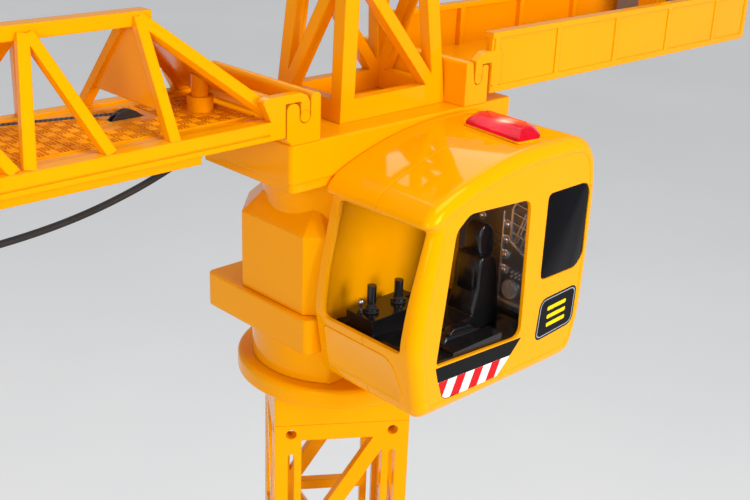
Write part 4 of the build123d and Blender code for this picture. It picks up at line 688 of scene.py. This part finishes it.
SIGN = resample(rounded([(-45.6, -17.2), (-74.6, -15.8), (-73.2, -37.2), (-43.2, -39.4)], cut=5.2, n=8), 0.8)
label("sign_ground", SIGN, FACE + 0.005, "ink_black", 0.06)
ring_o, ring_i = inset(SIGN, 1.0), inset(SIGN, 1.5)
nn = len(SIGN)
vv = [(x, FACE + 0.068, z) for x, z in ring_o] + [(x, FACE + 0.068, z) for x, z in ring_i]
vv += [(x, FACE + 0.10, z) for x, z in ring_o] + [(x, FACE + 0.10, z) for x, z in ring_i]
ff = []
for i in range(nn):
    j = (i + 1) % nn
    ff += [(2 * nn + i, 2 * nn + j, 3 * nn + j, 3 * nn + i), (i, nn + i, nn + j, j), (i, j, 2 * nn + j, 2 * nn + i), (nn + i, 3 * nn + i, 3 * nn + j, nn + j)]
piece("sign_border", vv, ff, "ink_grey", angle=20, slot="yellow_plastic")
bars = []
for zc in (-23.6, -28.0, -32.4):
    b = rounded([(-51.6, zc - 1.1), (-66.2, zc - 0.3), (-66.4, zc + 1.9), (-51.8, zc + 1.1)], cut=0.9, n=4)
    bars.append(mesh_of(*skin([[(x, FACE + 0.068, z) for x, z in b], [(x, FACE + 0.11, z) for x, z in b]])))
finish_piece("sign_bars", join(bars), "ink_yellow", angle=20)

# ------------------------------------------------------------------ cab details
# raised panel on the lower front
fp = rounded([(37.0, -25.2), (79.6, -25.8), (83.8, -29.6), (88.6, -44.6), (86.6, -48.2), (37.0, -48.2)], cut=3.0, n=6)
front = lambda z: 37.0 + (z + 53.0) * 0.18


def on_front(P, h):
    return [(front(z) + h, y, z) for y, z in P]


rings = [on_front(fp, -0.4), on_front(fp, 0.12), on_front(inset(fp, 0.2), 0.34), on_front(inset(fp, 0.7), 0.46), on_front(inset(fp, 1.1), 0.3), on_front(inset(fp, 1.3), 0.24)]
piece("cab_front_pressing", *skin(rings), "yellow_cab", angle=50, slot="yellow_plastic")

# seat: headrest, backrest and cushion with rounded edges
seat = []
for prof, ya, yb in (
        ([(-24.4, 20.6), (-30.4, 19.8), (-33.0, 15.6), (-34.2, 6.2), (-32.6, 3.4), (-24.2, 4.2), (-22.4, 7.4), (-22.0, 14.0)], 65.5, 75.5),
        ([(-22.6, 4.8), (-32.2, 4.4), (-35.2, -3.2), (-38.6, -26.0), (-39.0, -33.9), (-18.4, -33.9), (-17.6, -24.0), (-20.9, -12.0), (-21.2, -2.0)], 61.0, 77.4),
        ([(-22.0, -33.9), (-2.2, -33.9), (-2.4, -27.4), (-5.0, -25.0), (-20.0, -24.6)], 56.4, 78.0),
        ([(-23.6, -22.0), (-20.2, -12.0), (-20.6, -2.0), (-22.4, 3.4), (-26.0, 3.4), (-28.0, -20.0)], 63.6, 74.8)):
    seat.append(soften(prism_y(rounded(prof, cut=2.2, n=4), ya, yb), 1.5, 4, 40))
so = finish_piece("cab_seat_moulded", join(seat), "black_cab", angle=40)
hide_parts("cab_seat")

# arm console by the side window, levers and a chrome-tipped lever
arm = [soften(prism_y(rounded([(9.5, -33.9), (11.4, -27.6), (8.6, -24.6), (-15.0, -26.8), (-19.4, -29.8), (-19.0, -33.9)], cut=2.0, n=4), 78.6, 85.9), 1.4, 4, 40),
       soften(prism_y(rounded([(6.0, -25.6), (2.4, -22.4), (-9.0, -23.6), (-13.0, -27.0)], cut=1.4, n=4), 80.0, 84.6), 1.0, 3, 40)]
finish_piece("cab_arm_console", join(arm), "black_cab", angle=40)
lever = [lathe([(0.2, -20.2), (1.5, -20.0), (1.6, -18.9), (1.1, -18.3), (0.7, -17.6), (0.62, -15.4), (0.2, -15.3)], (28.4, 48.0, 0.0), "z", 20)]
finish_piece("cab_lever_stem", join(lever), "black_cab", angle=40)
finish_piece("cab_lever_tip", lathe([(0.2, -15.6), (1.0, -15.4), (1.5, -14.6), (1.6, -13.6), (1.2, -12.6), (0.5, -12.2), (0.1, -12.15)], (28.4, 48.0, 0.0), "z", 20), "steel", angle=60)
boots = [lathe([(0.3, -19.5), (3.7, -19.4), (3.8, -18.8), (3.1, -18.3), (3.2, -17.8), (2.4, -17.3), (2.5, -16.8), (1.8, -16.3), (1.5, -15.6), (0.3, -15.5)], (x, 50.0, 0.0), "z", 24) for x in (23.4, 5.3)]
finish_piece("cab_joystick_boots", join(boots), "rubber", angle=50)

# silver relief on the wall behind the seat
rel = []
for yc in (49.5, 66.3):
    for zc in (11.4, 3.2, -5.0, -13.2):
        rel.append(lathe([(0.1, -52.6), (0.9, -52.7), (1.6, -53.2), (1.9, -54.0), (2.6, -54.3), (2.7, -55.2), (0.1, -55.3)], (0.0, yc, zc), "x", 20))
rel.append(lathe([(0.3, -54.4), (3.9, -54.4), (4.2, -53.6), (5.0, -53.6), (5.3, -55.2), (0.3, -55.3)], (0.0, 70.8, -22.9), "x", 36))
for k in range(-3, 4):
    w = math.sqrt(max(0.0, 16.0 - (k * 1.15) ** 2))
    rel.append(soften(boxmesh(-55.0, -53.3, 70.8 - w, 70.8 + w, -22.9 + k * 1.15 - 0.28, -22.9 + k * 1.15 + 0.28), 0.15, 2))


def bar_x(p, q, half, x0, x1):
    """Flat bar in the YZ plane."""
    a, b = Vector(p), Vector(q)
    n = (b - a).normalized().orthogonal() * half
    c = [a + n, b + n, b - n, a - n]
    return soften(prism_x([(v.x, v.y) for v in c], x0, x1), 0.2, 2)


fr = [(69.6, 3.4), (69.6, 20.6), (73.0, 27.0), (88.0, 33.0), (88.0, -2.0), (80.0, -2.6)]
for i in range(len(fr)):
    rel.append(bar_x(fr[i], fr[(i + 1) % len(fr)], 0.7, -55.3, -52.9))
for k in range(7):
    y = 71.2 + k * 2.4
    rel.append(bar_x((y, 1.2 + 2.2 * (k % 2)), (min(87.4, y + 6.6), 20.0 + k * 1.1), 0.45, -55.3, -53.2))
for k in range(4):
    rel.append(bar_x((70.4, 8.0 + k * 5.2), (87.6, 4.2 + k * 5.6), 0.32, -55.3, -53.4))
for k in range(3):
    for j in range(2):
        rel.append(lathe([(0.1, -53.4), (0.5, -53.6), (0.75, -54.4), (0.8, -55.2), (0.1, -55.3)], (0.0, 71.4 + 2.6 * k, -15.4 + 2.2 * j), "x", 12))
fr2 = [(42.0, 22.0), (42.0, 46.0), (62.0, 46.0), (62.0, 22.0)]
for i in range(4):
    rel.append(bar_x(fr2[i], fr2[(i + 1) % 4], 0.8, -55.3, -52.9))
for k in range(5):
    rel.append(bar_x((44.0, 25.0 + k * 4.4), (60.0, 25.0 + k * 4.4), 0.9, -55.0, -53.3))
rel.append(bar_x((64.0, -30.0), (88.0, -30.0), 0.8, -55.3, -53.0))
rel.append(bar_x((64.0, -30.0), (64.0, 18.0), 0.5, -55.3, -53.4))
finish_piece("cab_rear_relief", join(rel), "silver", angle=35)

# beacon lens; its emission is a painted glow, pale and strongest at the lens centre and fading to red towards the rim
k = Net("beacon_red")
d = k.n("ShaderNodeVectorMath", operation="DISTANCE")
k.l(k.tc, d.inputs[0])
d.inputs[1].default_value = tuple(pt(-41.5, 68.5, 66.4))
grain = k.noise(300.0, 4.0, 0.6)
ray = k.noise(90.0, 2.0, 0.5, stretch=(1.0, 0.25, 1.0), distortion=1.0)
dist = k.math("ADD", d.outputs["Value"], k.math("MULTIPLY", k.ramp(ray, 0.3, 0.7, -1.0, 1.0), 0.0025))
k.l(k.mix(k.ramp(grain, 0.3, 0.7), (0.62, 0.004, 0.02), (0.45, 0.003, 0.01)), k.b.inputs["Base Color"])
k.l(k.ramp(grain, 0.3, 0.7, 0.05, 0.14), k.b.inputs["Roughness"])
# painted glow: pale emission at the lens centre, weaker red emission further out, broken into streaks by the
# stretched noise
k.l(k.mix(k.ramp(dist, 0.0015, 0.009), (1.0, 0.42, 0.30), (1.0, 0.010, 0.045)), k.b.inputs["Emission Color"])
k.l(k.math("ADD", k.ramp(dist, 0.0, 0.007, 1.9, 0.0), k.ramp(dist, 0.003, 0.024, 0.42, 0.04)), k.b.inputs["Emission Strength"])
k.l(k.bump(grain, 0.00002), k.b.inputs["Normal"])
k.b.inputs["Specular IOR Level"].default_value = 0.12
k.b.inputs["Specular Tint"].default_value = (1.0, 0.25, 0.3, 1.0)
M["beacon"] = k.m
OUT = [(-34.8, 50.2), (-47.3, 43.9), (-57.8, 46.4), (-55.6, 76.4), (-44.8, 88.4), (-30.6, 86.6)]
b0 = rounded(OUT, cut=1.4, n=3)
bc = Vector((-44.2, 66.0))


def shrink(P, a, b_):
    return np.array([[bc.x + (x - bc.x) * a, bc.y + (y - bc.y) * b_] for x, y in P])


rings = []
for h, a, b_ in ((62.3, 1.0, 1.0), (64.0, 1.0, 1.0), (64.4, 0.985, 0.99), (66.8, 0.56, 0.80), (67.2, 0.46, 0.72)):
    rings.append([(x, y, h) for x, y in shrink(b0, a, b_)])
bl = piece("beacon_lens_cut", *skin(rings), "beacon", angle=18, slot="red_lens")
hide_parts("beacon_lens")
rim = [[(x, y, h) for x, y in shrink(b0, a, a)] for h, a in ((62.0, 0.9), (62.0, 1.035), (62.75, 1.035), (62.9, 1.02), (62.9, 0.9))]
piece("beacon_seat", *skin(rim), "yellow_cab", angle=30, slot="yellow_plastic")


# ------------------------------------------------------------------ treadplate on the jib's deck
DECK = 75.4
tv, tf = [], []


def stud(x, y, lx, ly, h=0.6, z=DECK):
    """Low bar with sloped sides."""
    i = len(tv)
    for s_, hh in ((1.0, -0.02), (1.0, h * 0.35), (0.62, h)):
        ax, ay = (lx / 2 - (1 - s_) * 0.45), (ly / 2 - (1 - s_) * 0.45)
        tv.extend([(x - ax, y - ay, z + hh), (x + ax, y - ay, z + hh), (x + ax, y + ay, z + hh), (x - ax, y + ay, z + hh)])
    for k_ in (0, 4):
        tf.extend([(i + k_ + a, i + k_ + (a + 1) % 4, i + k_ + 4 + (a + 1) % 4, i + k_ + 4 + a) for a in range(4)])
    tf.extend([(i, i + 3, i + 2, i + 1), (i + 8, i + 9, i + 10, i + 11)])


CELL = 5.4
for xa, xb in ((67.0, 241.0), (248.5, 265.0), (337.5, 429.0), (436.5, 582.0)):
    nx, ny = int((xb - xa) // CELL), 8
    ox = xa + ((xb - xa) - nx * CELL) / 2
    for i in range(nx):
        for j in range(ny):
            cx, cy = ox + (i + 0.5) * CELL, ARM_Y + (j - (ny - 1) / 2) * CELL
            if math.hypot(cx - 79.0, cy - ARM_Y) < 8.6 or (101 < cx < 124 and -20.5 < cy < -9.0) or (121 < cx < 133 and -12.5 < cy < -0.5):
                continue
            for k in (-1, 0, 1):
                if (i + j) % 2:
                    stud(cx + k * 1.55, cy, 0.85, 4.4)
                else:
                    stud(cx, cy + k * 1.55, 4.4, 0.85)
    for y in (ARM_Y - ny * CELL / 2 - 1.2, ARM_Y + ny * CELL / 2 + 1.2):
        stud((xa + xb) / 2, y, xb - xa, 0.7)
piece("jib_treadplate", tv, tf, "yellow", angle=20, slot="yellow_plastic")
